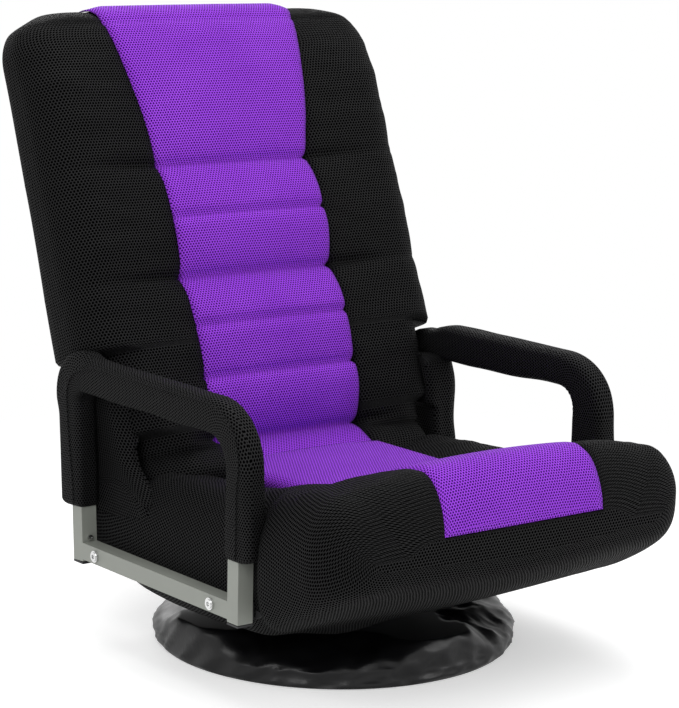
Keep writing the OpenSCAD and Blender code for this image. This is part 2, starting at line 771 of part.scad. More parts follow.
module back_side_tube_left() {
    back_side_tube(1);
}

module back_side_tube_right() {
    back_side_tube(-1);
}

module back_top_tube() {
    half = up_in - tube;
    color("#2a2a2c") back_place() difference() {
        translate([-half, -tube/2, back_frame_len - tube]) cube([2*half, tube, tube]);
        translate([-half - 1, -tube/2 + wall, back_frame_len - tube + wall])
            cube([2*half + 2, tube - 2*wall, tube - 2*wall]);
    }
}

bar_places = [120, 270, 420];
module back_cross_bars() {
    half = up_in - tube;
    color("#2a2a2c") back_place() for (u = bar_places) translate([-half, -7, u])
        rotate([0, 90, 0]) cylinder(h = 2*half, r = 6);
}

// Backrest cushion

// Room for the frame inside the cushion
module back_frame_room() {
    g = seat_gap;
    for (s = [-1, 1]) sided(s) {
        translate([up_in - tube - g, -tube/2 - g, -lobe_r]) cube([tube + 2*g, tube + 2*g,
            back_frame_len + lobe_r + g]);
        rod_x(up_in - tube - 9, up_in + 5, 0, 0, 11);
    }
    translate([-up_in + tube, -tube/2 - g, back_frame_len - tube - g])
        cube([2*(up_in - tube), tube + 2*g, tube + 2*g]);
    for (u = bar_places) translate([-up_in + tube, -7 - 6 - g, u - 6 - g])
        cube([2*(up_in - tube), 12 + 2*g, 12 + 2*g]);
}

module back_cushion() {
    function q(u) = u > wrap_u ? back_bottom(u) + 1 : back_top(u, back_seams) - panel_t;
    sections = [for (u = back_stations) let (
        w = back_w(u),
        top = back_top(u, bolster_seams),
        bottom = back_bottom(u),
        p = back_p(u) + soft_gap,
        floor_v = u <= 0 ? top - 0.6 : min(top - 2.2, q(u)),
        h = half_section(w, top, bottom, p, floor_v, 3*puff(u), 46, 46, 0.6))
        [for (a = turned(whole(h))) [a[0], a[1], u]]];
    color("#171717") back_place() difference() {
        skin(sections);
        back_frame_room();
    }
}

module back_centre_panel() {
    stations = [for (u = back_stations) if (u > 0) u];
    sections = [for (u = stations) let (
        top = back_top(u, back_seams),
        floor_v = u > wrap_u ? back_bottom(u) + 1 + soft_gap : top - panel_t + soft_gap)
        [for (a = panel_section(back_p(u), top, min(floor_v, top - 2), (0.8 + 3.2*puff(u))*crown_k(u))) [a[0], a[1], u]]];
    color("#9338d6") back_place() skin(sections);
}

// Seat cushion

// Room in the seat cushion for the frame, the hinge, the armrests and the backrest's lower end
module seat_room() {
    g = seat_gap;
    rod_x(-up_in - 0.6, up_in + 0.6, pin_y, pin_z, lobe_r + soft_gap);
    translate([-up_in - 0.6, pin_y - 20, 0]) cube([2*up_in + 1.2, 200, 300]);
    for (s = [-1, 1]) sided(s) {
        translate([side_in - g, -leg_front - 8 - g, rail_z - g])
            cube([tube + 2*g, pin_y + 22 + leg_front + 2*g, tube + 2*g]);
        translate([up_in, pin_y - 64, rail_z - g]) cube([side_in - up_in + g, 130, 110]);
        rod_x(side_in - 1, side_in + 4, pin_y, pin_z, 9);
        for (y = [-1, 1]) rod_x(side_in - 8, arm_x, y*bolt_gap/2, bolt_z, y > 0 ? 6 : 8);
        translate([rail_in - pad_in - soft_gap, -leg_front - tube/2 - pad_top - soft_gap,
            pad_foot_front - 1]) cube([60, pad_top + tube + pad_under + 2*soft_gap, 150]);
        translate([rail_in - soft_gap, -leg_front - tube/2 - soft_gap, 0])
            cube([60, tube + 2*soft_gap, 200]);
        translate([rail_in - pad_in - soft_gap, leg_rear - tube/2 - pad_under - 2, pad_foot_rear - 2.2])
            cube([60, 80, 150]);
    }
    for (y = bar_y) translate([0, y - tube/2 - g, 0]) {
        translate([-156, 0, bar_low_z - 5]) cube([312, tube + 2*g, tube + 6]);
        for (s = [-1, 1]) sided(s) translate([0, tube + 2*g, 0]) rotate([90, 0, 0])
            linear_extrude(tube + 2*g) polygon([[150, bar_low_z - 6], [side_in + 1, rail_z - 2],
                [side_in + 1, rail_z + tube + 2], [144, bar_low_z + tube + 1]]);
    }
    translate([-plate_w/2 - 4, -plate_w/2 - 4, 0]) cube([plate_w + 8, plate_w + 8, bar_low_z + 3.5]);
    translate([0, -leg_front - 8.3, rail_z]) rotate([-front_rise, 0, 0]) translate([0, 0, -g])
        linear_extrude(tube + 2*g) difference() {
            translate([-side_out + 3 - g, -96 - g]) square([2*(side_out - 3 + g), 100]);
            translate([-side_out + 3 + tube + g, -96 + tube + g]) square([2*(side_out - 3 - tube - g), 100]);
        }
}

// Soft wings outside the hinges, round the ends of the side tubes
module seat_wings() {
    both_sides() translate([side_in + 2, pin_y, pin_z]) rotate([0, 90, 0]) scale([0.82, 1, 1])
        cylinder(h = tube - 2.4, r = lobe_r, $fn = 40);
}

module seat_cushion() {
    sections = [for (y = seat_stations) let (
        top = pair_line(y, sit_pairs),
        bottom = pair_line(y, belly_pairs),
        floor_z = y < nose_y ? min(panel_foot_z - soft_gap, top - 2.2) : top - panel_t,
        h = half_section(seat_w(y), top, bottom, seat_panel_half + soft_gap,
            floor_z, seat_up(y), 46, 70, 1))
        [for (a = whole(h)) [a[0], y, a[1]]]];
    color("#171717") difference() {
        union() {
            skin(sections);
            seat_wings();
        }
        seat_room();
    }
}

module seat_centre_panel() {
    stations = [for (y = seat_stations) if (y < 60 && y > -seat_front) y];
    sections = [for (y = stations) let (
        top = pair_line(y, sit_pairs),
        floor_z = y < nose_y ? panel_foot_z : top - panel_t + soft_gap)
        [for (a = turned(panel_section(seat_panel_half, max(top, panel_foot_z + 2), floor_z, 4)))
            [a[0], y, a[1]]]];
    color("#9338d6") difference() {
        skin(sections);
        rod_x(-200, 200, pin_y, pin_z, lobe_r + soft_gap);
    }
}

// How far the middle of the chair lies behind the middle of the base
rear_end = pin_y + max([for (u = back_stations) u*sin(lean) - back_bottom(u)*cos(lean)]);
rest_mid = round((rear_end - seat_front)/2);
translate([0, -rest_mid, 0]) {
    base_feet();
    base_ring();
    base_arms();
    base_hub_plate();
    base_cover();
    swivel_lower_plate();
    swivel_lower_bolts();
    swivel_ball_cage();
    swivel_balls();
    swivel_rivet();
    swivel_upper_plate();
    swivel_upper_bolts();
    seat_cross_bar_front();
    seat_cross_bar_rear();
    seat_side_tube_left();
    seat_side_tube_right();
    seat_front_tube();
    seat_cushion();
    seat_centre_panel();
    armrest_frame_left();
    armrest_frame_right();
    armrest_rail_left();
    armrest_rail_right();
    armrest_pad_left();
    armrest_pad_right();
    armrest_bolts_left();
    armrest_bolts_right();
    armrest_nuts();
    armrest_screws();
    armrest_foot_plugs();
    hinge_lower_bracket_left();
    hinge_lower_bracket_right();
    hinge_pins();
    hinge_pin_nuts();
    hinge_pawls();
    hinge_pawl_pins();
    hinge_pawl_springs();
    hinge_upper_bracket_left();
    hinge_upper_bracket_right();
    back_side_tube_left();
    back_side_tube_right();
    back_top_tube();
    back_cross_bars();
    back_cushion();
    back_centre_panel();
}
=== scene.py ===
# %% [markdown]
# A floor gaming chair, dressed for a picture. The steel frame, the swivel and the hinges come ready
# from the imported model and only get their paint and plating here. Everything that is cloth over foam
# is made here: seat, backrest, their coloured middle panels, the armrest sleeves and the base's cover.

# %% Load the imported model
import json
import math

import bpy
import bmesh
import numpy as np
from mathutils import Vector, Matrix, noise


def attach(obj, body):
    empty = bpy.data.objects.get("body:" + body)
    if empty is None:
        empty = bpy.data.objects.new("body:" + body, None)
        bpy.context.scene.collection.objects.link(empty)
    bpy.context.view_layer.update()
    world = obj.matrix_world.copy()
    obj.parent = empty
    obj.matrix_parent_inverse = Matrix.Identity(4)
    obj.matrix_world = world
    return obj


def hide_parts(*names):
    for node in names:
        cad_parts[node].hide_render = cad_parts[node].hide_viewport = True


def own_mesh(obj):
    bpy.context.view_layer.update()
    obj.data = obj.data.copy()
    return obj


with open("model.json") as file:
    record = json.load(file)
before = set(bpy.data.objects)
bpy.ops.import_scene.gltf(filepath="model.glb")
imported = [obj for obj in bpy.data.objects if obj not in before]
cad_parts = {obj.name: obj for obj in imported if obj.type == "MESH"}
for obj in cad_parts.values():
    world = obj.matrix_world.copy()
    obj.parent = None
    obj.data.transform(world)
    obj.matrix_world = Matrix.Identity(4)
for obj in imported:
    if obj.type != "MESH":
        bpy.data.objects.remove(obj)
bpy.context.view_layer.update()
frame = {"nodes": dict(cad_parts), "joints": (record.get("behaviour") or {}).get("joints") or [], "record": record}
joints = {joint["name"]: joint for joint in frame["joints"]}
MM = 0.001
pin_y, pin_z = (value / MM for value in joints["recline"]["pos_m"][1:])
base_y = joints["swivel"]["pos_m"][1] / MM
print("nodes", len(frame["nodes"]), "hinge pin at", pin_y, pin_z, "base at", base_y)

# %% [markdown]
# The camera stands where the photograph was taken from: to the chair's front, on its right-hand
# side, a little over its top, with a long lens. The numbers come from fitting straight edges
# of the frame and the base's circle, so they are kept as they are.

# %% Camera
TARGET = Vector((-0.0389, -0.04749 - 0.017, 0.35352))
AZIMUTH, ELEVATION, ROLL, DISTANCE = -37.869, 10.619, 1.188, 2.94258
LENS = 129.64


def add_camera():
    a, e, r = (math.radians(angle) for angle in (AZIMUTH, ELEVATION, ROLL))
    back = Vector((math.sin(a) * math.cos(e), -math.cos(a) * math.cos(e), math.sin(e)))
    right = Vector((math.cos(a), math.sin(a), 0))
    up = back.cross(right)
    right_rolled = math.cos(r) * right + math.sin(r) * up
    up_rolled = -math.sin(r) * right + math.cos(r) * up
    camera = bpy.data.objects.new("camera", bpy.data.cameras.new("camera"))
    bpy.context.scene.collection.objects.link(camera)
    turn = Matrix((right_rolled, up_rolled, back)).transposed().to_4x4()
    camera.matrix_world = Matrix.Translation(TARGET + back * DISTANCE) @ turn
    camera.data.lens = LENS
    camera.data.sensor_width = 36
    bpy.context.scene.camera = camera


add_camera()
bpy.context.scene.view_settings.view_transform = "Standard"

# %% [markdown]
# Every material below is a small tree of shader nodes. They could be joined by hand in the shader
# editor. In a script, one helper that adds a node with its settings and links keeps each tree short.
# Colours are written as sRGB hex codes, as a colour picker shows them, and one function turns them
# into the linear light that the nodes expect.

# %% Small helpers for materials


def linear(code):
    """Turns an sRGB hex colour into linear light."""
    values = [int(code[i:i + 2], 16) / 255 for i in (0, 2, 4)]
    return [v / 12.92 if v <= 0.04045 else ((v + 0.055) / 1.055) ** 2.4 for v in values] + [1.0]


def add_node(tree, kind, settings=None, links=None):
    """Adds a node. Settings are its properties and its inputs' values, links are its inputs' sources."""
    node = tree.nodes.new(kind)
    for name, value in (settings or {}).items():
        if isinstance(name, str) and hasattr(node, name):
            setattr(node, name, value)
        else:
            node.inputs[name].default_value = value
    for name, source in (links or {}).items():
        tree.links.new(source, node.inputs[name])
    return node


def new_material(name):
    material = bpy.data.materials.new(name)
    material.use_nodes = True
    material.node_tree.nodes.clear()
    return material, material.node_tree


def finish_material(tree, shader):
    out = tree.nodes.new("ShaderNodeOutputMaterial")
    tree.links.new(shader.outputs[0], out.inputs["Surface"])


# %% [markdown]
# A product picture is lit by large soft boxes. A big lamp stands to the left of the camera, a weaker
# one to its right, one hangs over the chair and one stands behind it. The floor is near white, and
# fades to pure white around the chair. The camera and the glossy surfaces see a white world, while
# the chair gets less light from it, so that white doesn't wash out its black cloth.

# %% Lamps, world and floor


def add_lamp(name, place, target, size, watts):
    lamp = bpy.data.objects.new(name, bpy.data.lights.new(name, "AREA"))
    lamp.data.shape = "RECTANGLE"
    lamp.data.size, lamp.data.size_y = size
    lamp.data.energy = watts
    lamp.location = place
    lamp.rotation_euler = (Vector(target) - Vector(place)).to_track_quat("-Z", "Y").to_euler()
    bpy.context.scene.collection.objects.link(lamp)


add_lamp("lamp_front_left", (-2.6, -1.4, 2.1), (0, 0, 0.35), (1.6, 2.0), 52)
add_lamp("lamp_front_right", (1.6, -2.6, 1.6), (0, 0, 0.3), (1.6, 1.6), 34)
add_lamp("lamp_top", (0.3, 0.4, 2.8), (0, 0, 0.3), (2.4, 2.4), 44)
add_lamp("lamp_rear", (1.0, 2.6, 1.4), (0, 0, 0.4), (1.6, 1.6), 22)
print("lamps", len(bpy.data.lights))


def pale_background(tree, light, seen):
    """The colour that a camera or a mirror sees, and the light that everything else gets."""
    path = add_node(tree, "ShaderNodeLightPath")
    both = add_node(tree, "ShaderNodeMath", {"operation": "MAXIMUM"},
                    {0: path.outputs["Is Camera Ray"], 1: path.outputs["Is Glossy Ray"]})
    three = add_node(tree, "ShaderNodeMath", {"operation": "MAXIMUM"},
                     {0: both.outputs[0], 1: path.outputs["Is Transmission Ray"]})
    return add_node(tree, "ShaderNodeMixShader", {}, {0: three.outputs[0], 1: light, 2: seen})


world = bpy.data.worlds.new("studio")
bpy.context.scene.world = world
world.use_nodes = True
world.node_tree.nodes.clear()
room = add_node(world.node_tree, "ShaderNodeBackground", {"Color": linear("FFFFFF"), "Strength": 0.40})
white = add_node(world.node_tree, "ShaderNodeBackground", {"Color": linear("FFFFFF"), "Strength": 1.0})
mixed = pale_background(world.node_tree, room.outputs[0], white.outputs[0])
world_out = world.node_tree.nodes.new("ShaderNodeOutputWorld")
world.node_tree.links.new(mixed.outputs[0], world_out.inputs["Surface"])


def add_floor():
    material, tree = new_material("pale_studio_floor")
    matt = add_node(tree, "ShaderNodeBsdfDiffuse", {"Color": linear("F4F4F4")})
    place = add_node(tree, "ShaderNodeTexCoord")
    far = add_node(tree, "ShaderNodeVectorMath", {"operation": "LENGTH"}, {0: place.outputs["Object"]})
    fade = add_node(tree, "ShaderNodeMapRange", {"interpolation_type": "SMOOTHSTEP", "From Min": 0.35,
                                                 "From Max": 1.3}, {"Value": far.outputs["Value"]})
    pale = add_node(tree, "ShaderNodeEmission", {"Color": linear("FFFFFF"), "Strength": 0.36})
    near = add_node(tree, "ShaderNodeAddShader", {}, {0: matt.outputs[0], 1: pale.outputs[0]})
    plain = add_node(tree, "ShaderNodeEmission", {"Color": linear("FFFFFF"), "Strength": 1.0})
    both = add_node(tree, "ShaderNodeMixShader", {},
                    {0: fade.outputs[0], 1: near.outputs[0], 2: plain.outputs[0]})
    finish_material(tree, pale_background(tree, matt.outputs[0], both.outputs[0]))
    bpy.ops.object.select_all(action="DESELECT")
    bpy.ops.mesh.primitive_plane_add(size=14, location=(0, 0, 0))
    floor = bpy.context.object
    floor.name = "floor"
    floor.data.materials.append(material)


add_floor()

# %% [markdown]
# Air mesh is a polyester cloth, knitted with rows of small oval holes, each row shifted by half a
# hole. The threads between the holes catch the light. The holes get a dark colour that is partly the
# foam below and partly painted shade for their depth. The pattern could be an image, but nodes stay
# sharp at any size. It follows the cloth, so each cloth piece carries a UV map in metres, and a few
# vector nodes turn it into two shifted grids of holes. Real holes are about 3 mm apart. Here they
# are about 4 mm apart, because finer ones don't show.

# %% Air mesh


def hole_pattern(tree, pitch, tall, hole):
    """1 on the threads and 0 in the holes of two shifted grids."""
    cloth = add_node(tree, "ShaderNodeUVMap", {"uv_map": "cloth"})
    wobble = add_node(tree, "ShaderNodeTexNoise", {"Scale": 90.0, "Detail": 1.0},
                      {"Vector": cloth.outputs[0]})
    shift = add_node(tree, "ShaderNodeVectorMath", {"operation": "SCALE", "Scale": pitch * 0.35},
                     {0: wobble.outputs["Color"]})
    moved = add_node(tree, "ShaderNodeVectorMath", {"operation": "ADD"},
                     {0: cloth.outputs[0], 1: shift.outputs[0]})
    cells = add_node(tree, "ShaderNodeVectorMath", {"operation": "MULTIPLY", 1: (1 / pitch, 1 / tall, 0)},
                     {0: moved.outputs[0]})
    nearest = []
    for offset in ((0, 0, 0), (0.5, 0.5, 0)):
        placed = add_node(tree, "ShaderNodeVectorMath", {"operation": "ADD", 1: offset},
                          {0: cells.outputs[0]})
        inside = add_node(tree, "ShaderNodeVectorMath", {"operation": "FRACTION"}, {0: placed.outputs[0]})
        middle = add_node(tree, "ShaderNodeVectorMath", {"operation": "SUBTRACT", 1: (0.5, 0.5, 0)},
                          {0: inside.outputs[0]})
        oval = add_node(tree, "ShaderNodeVectorMath", {"operation": "MULTIPLY", 1: (1, tall / pitch, 0)},
                        {0: middle.outputs[0]})
        nearest.append(add_node(tree, "ShaderNodeVectorMath", {"operation": "LENGTH"},
                                {0: oval.outputs[0]}).outputs["Value"])
    far = add_node(tree, "ShaderNodeMath", {"operation": "MINIMUM"}, {0: nearest[0], 1: nearest[1]})
    return add_node(tree, "ShaderNodeMapRange", {"interpolation_type": "SMOOTHSTEP", "From Min": hole * 0.45,
                                                 "From Max": hole * 1.25}, {"Value": far.outputs[0]})


def air_mesh(name, thread, shade, deep, pitch, hole, shine, sheen=0.0):
    """Knitted air mesh: thread colour, its darker tone, and the colour in the holes, dark foam with painted shade.
    """
    material, tree = new_material(name)
    threads = hole_pattern(tree, pitch, pitch * 1.6, hole)
    place = add_node(tree, "ShaderNodeTexCoord")
    patches = add_node(tree, "ShaderNodeTexNoise", {"Scale": 11.0, "Detail": 3.0},
                       {"Vector": place.outputs["Object"]})
    tone = add_node(tree, "ShaderNodeMix", {"data_type": "RGBA"}, {0: patches.outputs["Fac"]})
    tone.inputs[6].default_value = linear(shade)
    tone.inputs[7].default_value = linear(thread)
    # Thread colour over the holes' colour. The holes' colour is dark foam with painted shade for their depth.
    colour = add_node(tree, "ShaderNodeMix", {"data_type": "RGBA"},
                      {0: threads.outputs[0], 7: tone.outputs[2]})
    colour.inputs[6].default_value = linear(deep)
    bump = add_node(tree, "ShaderNodeBump", {"Strength": 0.55, "Distance": 0.0009},
                    {"Height": threads.outputs[0]})
    gleam = add_node(tree, "ShaderNodeMapRange", {"To Min": 0.0, "To Max": shine},
                     {"Value": threads.outputs[0]})
    shader = add_node(tree, "ShaderNodeBsdfPrincipled",
                      {"Roughness": 0.7, "Sheen Weight": sheen, "Sheen Roughness": 0.4},
                      {"Base Color": colour.outputs[2], "Normal": bump.outputs[0],
                       "Specular IOR Level": gleam.outputs[0]})
    finish_material(tree, shader)
    return material


# Dyed purple knit: matt, with a faint fuzz, and dark purple dots in its holes: the layer below with painted shade.
purple_mesh = air_mesh("purple_air_mesh", "A54AEC", "9037D6", "2C0656",
                       pitch=3.8 * MM, hole=0.38, shine=0.15, sheen=0.05)
# Black polyester knit: its smooth threads glint a little, and its holes are painted pure black: dark foam with
# painted shade.
black_mesh = air_mesh("black_air_mesh", "151516", "101011", "000000",
                      pitch=4.2 * MM, hole=0.46, shine=0.24)
# The same knit stretched over the armrests, so a little finer and shinier, with black painted shade in its holes.
sleeve_mesh = air_mesh("black_sleeve_mesh", "171718", "111112", "000000",
                       pitch=3.6 * MM, hole=0.44, shine=0.26)
print("cloths", purple_mesh.name, black_mesh.name, sleeve_mesh.name)

# %% [markdown]
# The frame is steel. The armrest's tube has satin grey paint, the inner frame has black powder coat,
# the swivel's plates are zinc plated, and the screws are nickel plated. Their solids already have the
# right shape, so they only get a material. Two noises do it: a broad one for worn tones and polish,
# and a fine one, about a millimetre wide, as the grain of the coat.

# %% Paint, plating, rubber


def coated(name, colour, dark, rough, metallic=0.0, grain=900.0, height=0.00002):
    """A painted, plated or moulded finish with a fine grain and slightly worn tones."""
    material, tree = new_material(name)
    place = add_node(tree, "ShaderNodeTexCoord")
    cloud = add_node(tree, "ShaderNodeTexNoise", {"Scale": 28.0, "Detail": 4.0},
                     {"Vector": place.outputs["Object"]})
    tone = add_node(tree, "ShaderNodeMix", {"data_type": "RGBA"}, {0: cloud.outputs["Fac"]})
    tone.inputs[6].default_value = linear(dark)
    tone.inputs[7].default_value = linear(colour)
    speck = add_node(tree, "ShaderNodeTexNoise", {"Scale": grain, "Detail": 2.0},
                     {"Vector": place.outputs["Object"]})
    polish = add_node(tree, "ShaderNodeMapRange", {"To Min": rough - 0.06, "To Max": rough + 0.08},
                      {"Value": cloud.outputs["Fac"]})
    bump = add_node(tree, "ShaderNodeBump", {"Strength": 0.5, "Distance": height},
                    {"Height": speck.outputs["Fac"]})
    shader = add_node(tree, "ShaderNodeBsdfPrincipled", {"Metallic": metallic},
                      {"Base Color": tone.outputs[2], "Roughness": polish.outputs[0],
                       "Normal": bump.outputs[0]})
    finish_material(tree, shader)
    return material


FINISHES = {
    # Sprayed paint: a warm light grey with a soft, wide gleam along the tube's edges.
    "grey_tube": coated("satin_grey_paint", "8E918A", "83867F", 0.42),
    # Powder coat: dark and dull, with a fine orange-peel grain.
    "black_frame": coated("black_powder_coat", "1C1C1E", "151516", 0.55, grain=1500.0),
    # Zinc: a cool grey metal with a cloudy polish.
    "zinc_plate": coated("zinc_plating", "B9BABC", "9EA0A3", 0.38, metallic=1.0),
    # Nickel: nearly white, and bright enough to sparkle on the bolt heads.
    "bright_screw": coated("nickel_plating", "E2E2E0", "C4C5C6", 0.22, metallic=1.0),
    # Pressed sheet steel: a darker bare metal.
    "hinge_steel": coated("pressed_steel", "7A7B7D", "626366", 0.42, metallic=1.0),
    # Moulded rubber: black and almost without gloss.
    "foot_rubber": coated("moulded_rubber", "1A1A1A", "121212", 0.8),
    # Moulded plastic: black with a low gloss.
    "plug_plastic": coated("moulded_plastic", "202022", "18181A", 0.5),
}
slots = {piece["node"]: piece["material_slot"] for piece in frame["record"]["subparts"]}
for node_name, node_object in frame["nodes"].items():
    if slots[node_name] in FINISHES:
        for slot in node_object.material_slots:
            slot.material = FINISHES[slots[node_name]]
print("finishes", len(FINISHES))

# %% [markdown]
# The cushions are cloth over moulded foam. They could be blown up by a cloth simulation, but their
# stitched seams lie at known places, so each cushion is lofted from cross sections instead. The
# shape of a section comes from a few curves along the cushion: the row of padded cells between the
# seams, the bolster beside it, and the half width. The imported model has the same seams.

# %% Curves that the cushions share


def ease(t):
    """Smooth way from 0 to 1."""
    return t * t * (3 - 2 * t)


def step(value, low, high):
    """0 below low, 1 above high, and smooth between them."""
    return ease(min(1.0, max(0.0, (value - low) / (high - low))))


def smooth_along(s, pairs):
    """Value at s on [place, value] pairs, with smooth steps between them."""
    if s <= pairs[0][0]:
        return pairs[0][1]
    for (s0, v0), (s1, v1) in zip(pairs, pairs[1:]):
        if s <= s1:
            return v0 + (v1 - v0) * ease((s - s0) / (s1 - s0))
    return pairs[-1][1]


def curve_along(s, pairs):
    """Value at s on a smooth curve through [place, value] pairs."""
    places = [pair[0] for pair in pairs]
    values = [pair[1] for pair in pairs]
    if s <= places[0]:
        return values[0]
    if s >= places[-1]:
        return values[-1]
    i = max(k for k in range(len(places) - 1) if places[k] <= s)

    def slope(k):
        if k == 0 or k == len(places) - 1:
            j = min(k, len(places) - 2)
            return (values[j + 1] - values[j]) / (places[j + 1] - places[j])
        a = (values[k] - values[k - 1]) / (places[k] - places[k - 1])
        b = (values[k + 1] - values[k]) / (places[k + 1] - places[k])
        return 0.0 if a * b <= 0 else 2 * a * b / (a + b)

    h = places[i + 1] - places[i]
    t = (s - places[i]) / h
    return ((1 + 2 * t) * (1 - t) ** 2 * values[i] + t * (1 - t) ** 2 * h * slope(i)
            + t * t * (3 - 2 * t) * values[i + 1] + t * t * (t - 1) * h * slope(i + 1))


def padded_row(s, seams, round_seam=0.5):
    """Height at s on padded cells between seams, each [place, stitch height, rise of the next cell]."""
    if s <= seams[0][0]:
        return seams[0][1]
    for (s0, v0, rise), (s1, v1, _) in zip(seams, seams[1:]):
        if s <= s1:
            t = (s - s0) / (s1 - s0)
            return v0 + (v1 - v0) * t + rise * math.sin(math.pi * t) ** round_seam
    return seams[-1][1]


def quarter(t):
    """Quarter of a circle: 1 at t = 0 and 0 at t = 1."""
    return math.sqrt(max(0.0, 1 - t * t))


# %% [markdown]
# A loft is a stack of rings with the same number of points. A face joins each four neighbours, the
# two ends are closed with one face each, and the UV map is measured along the rings and from ring to
# ring, so that the cloth's holes keep their size wherever the cushion swells.

# %% Skin for all soft pieces


def cloth_object(name, rows, material):
    """Skins rows of points, each a closed ring, and lays a UV map in metres on the cloth."""
    rows = np.array(rows, float) * MM
    count, around = rows.shape[:2]
    faces, uvs = [], []
    step = np.linalg.norm(np.roll(rows, -1, axis=1) - rows, axis=2)
    girth = np.concatenate([np.zeros((count, 1)), np.cumsum(step, axis=1)], axis=1)
    girth -= girth[:, [around // 2]]
    hop = np.linalg.norm(np.diff(rows, axis=0), axis=2)
    length = np.concatenate([[0], np.cumsum(np.median(hop, axis=1))])
    for i in range(count - 1):
        for j in range(around):
            k = (j + 1) % around
            faces.append((i * around + j, i * around + k, (i + 1) * around + k, (i + 1) * around + j))
            uvs += [(girth[i, j], length[i]), (girth[i, j + 1], length[i]),
                    (girth[i + 1, j + 1], length[i + 1]), (girth[i + 1, j], length[i + 1])]
    for i, ring in ((0, range(around - 1, -1, -1)), (count - 1, range(around))):
        faces.append(tuple(i * around + j for j in ring))
        centre = rows[i].mean(axis=0)
        wide = sorted(np.argsort(np.ptp(rows[i], axis=0))[-2:])
        uvs += [tuple((rows[i][j] - centre)[wide]) for j in ring]
    mesh = bpy.data.meshes.new(name)
    mesh.from_pydata(rows.reshape(-1, 3).tolist(), [], faces)
    layer = mesh.uv_layers.new(name="cloth")
    layer.data.foreach_set("uv", np.array(uvs).ravel())
    form = bmesh.new()
    form.from_mesh(mesh)
    bmesh.ops.recalc_face_normals(form, faces=form.faces[:])
    form.to_mesh(mesh)
    form.free()
    mesh.polygons.foreach_set("use_smooth", [True] * len(mesh.polygons))
    mesh.materials.append(material)
    piece = bpy.data.objects.new(name, mesh)
    bpy.context.scene.collection.objects.link(piece)
    print(name, len(mesh.vertices), "points")
    return piece


# %% [markdown]
# The backrest has axes of its own: u runs from the hinge pin up along the back, v points forwards out
# of its face, and x goes across. The numbers are millimetres. Its round lower end, the lobe, turns
# in the seat's crease. The back is narrow between the armrests, its waist, and wide above them, with
# a shoulder between the two. Each row lists a seam's place, how high its stitches lie, and how far
# the padded cell above it rises.

# %% Backrest: its sizes, from the hinge pin up
LEAN = 20.4
# Radius of the round lower end, and how much lower its cloth lies.
LOBE, SEAM_DIP = 79.0, 1.5
# Length, radius of the top edge, and the round of the top corners along the back and across it.
BACK_LEN, CROWN, CORNER, CORNER_W = 624.0, 30.0, 70.0, 78.0
# Depth of the rear face, and the height at which front and rear meet at the top edge.
BACK_REAR, CLOSE_V = 46.0, -15.0
# Round of the sides, how far the black cloth reaches under the panel, and the valley along its edge.
SIDE_R, PANEL_LAP, SEAM_GROOVE = 46.0, 40.0, 14.0
# The crease with the seat, the lowest seam, and the seam under the head.
CREASE, LOW_SEAM, HEAD_SEAM = 18.0, 71, 411
CREASE_V = math.sqrt(LOBE ** 2 - CREASE ** 2) - SEAM_DIP
PANEL_ROW = [[CREASE, CREASE_V, 6], [LOW_SEAM, 28, 15], [146, 52, 6], [210, 58, 8], [271, 38, 11],
             [344, 54, 8], [HEAD_SEAM, 35, 15], [BACK_LEN - CROWN, 28, 0]]
BOLSTER_ROW = [[CREASE, CREASE_V, 5], [LOW_SEAM, 42, 16], [271, 44, 12], [HEAD_SEAM, 40, 12],
               [BACK_LEN - CROWN, 26, 0]]
SIDE_ROW = [[CREASE, CREASE_V], [60, 60], [140, 58], [271, 55], [HEAD_SEAM, 51], [500, 50],
            [BACK_LEN - CROWN, 28]]
# Half widths at the foot, at the waist and above the shoulder, and where they change.
FOOT_HALF, WAIST_HALF, BACK_HALF = 215.6, 236.5, 262.0
FOOT_TOP, WAIST_LOW, SHOULDER, SHOULDER_R = 84, 92, 188.5, 9.0
# Half widths of the purple panel, below the head and at the top.
PANEL_HALF, PANEL_TOP_HALF = 113.0, 147
print("crease at", CREASE, round(CREASE_V, 1))

# %% [markdown]
# From these sizes come the curves that a section needs: how wide the back is at u, how high its
# front and rear faces are, and where the purple panel ends.

# %% Backrest: its curves


def lobe_v(u):
    """Height of the round lower end at u."""
    return math.sqrt(max(LOBE ** 2 - u * u, 1))


def stitch(u, row, deep=3.0):
    """How far the stitches of the nearest seam pull the cloth in."""
    return max(deep * math.exp(-((u - place) / 4.5) ** 2) for place, _, _ in row[1:-1])


def wrinkle(x, u, size):
    """Small folds of the cloth, longer across the chair than along it."""
    broad = noise.noise(Vector((x * 0.012, u * 0.034, 2.0)))
    fine = noise.noise(Vector((x * 0.03, u * 0.08, 5.0)))
    return size * (broad + 0.5 * fine)


def puff(u):
    """Share of its full puff that a cell has near the round lower end."""
    return step(u, CREASE, LOW_SEAM)


def crown(u):
    """1 along the back, and down to 0 over its round top edge."""
    return 1.0 if u < BACK_LEN - CROWN else quarter((u - BACK_LEN + CROWN) / CROWN)


def back_half_width(u):
    """Foot, waist between the armrests, shoulder, full width and round top corners."""
    if u <= FOOT_TOP:
        return FOOT_HALF
    if u < WAIST_LOW:
        return FOOT_HALF + (WAIST_HALF - FOOT_HALF) * ease((u - FOOT_TOP) / (WAIST_LOW - FOOT_TOP))
    if u < SHOULDER:
        return WAIST_HALF
    if u < SHOULDER + SHOULDER_R:
        return WAIST_HALF + (BACK_HALF - WAIST_HALF) * quarter(1 - (u - SHOULDER) / SHOULDER_R)
    if u <= BACK_LEN - CORNER:
        return BACK_HALF
    return BACK_HALF - CORNER_W + CORNER_W * quarter((u - BACK_LEN + CORNER) / CORNER)


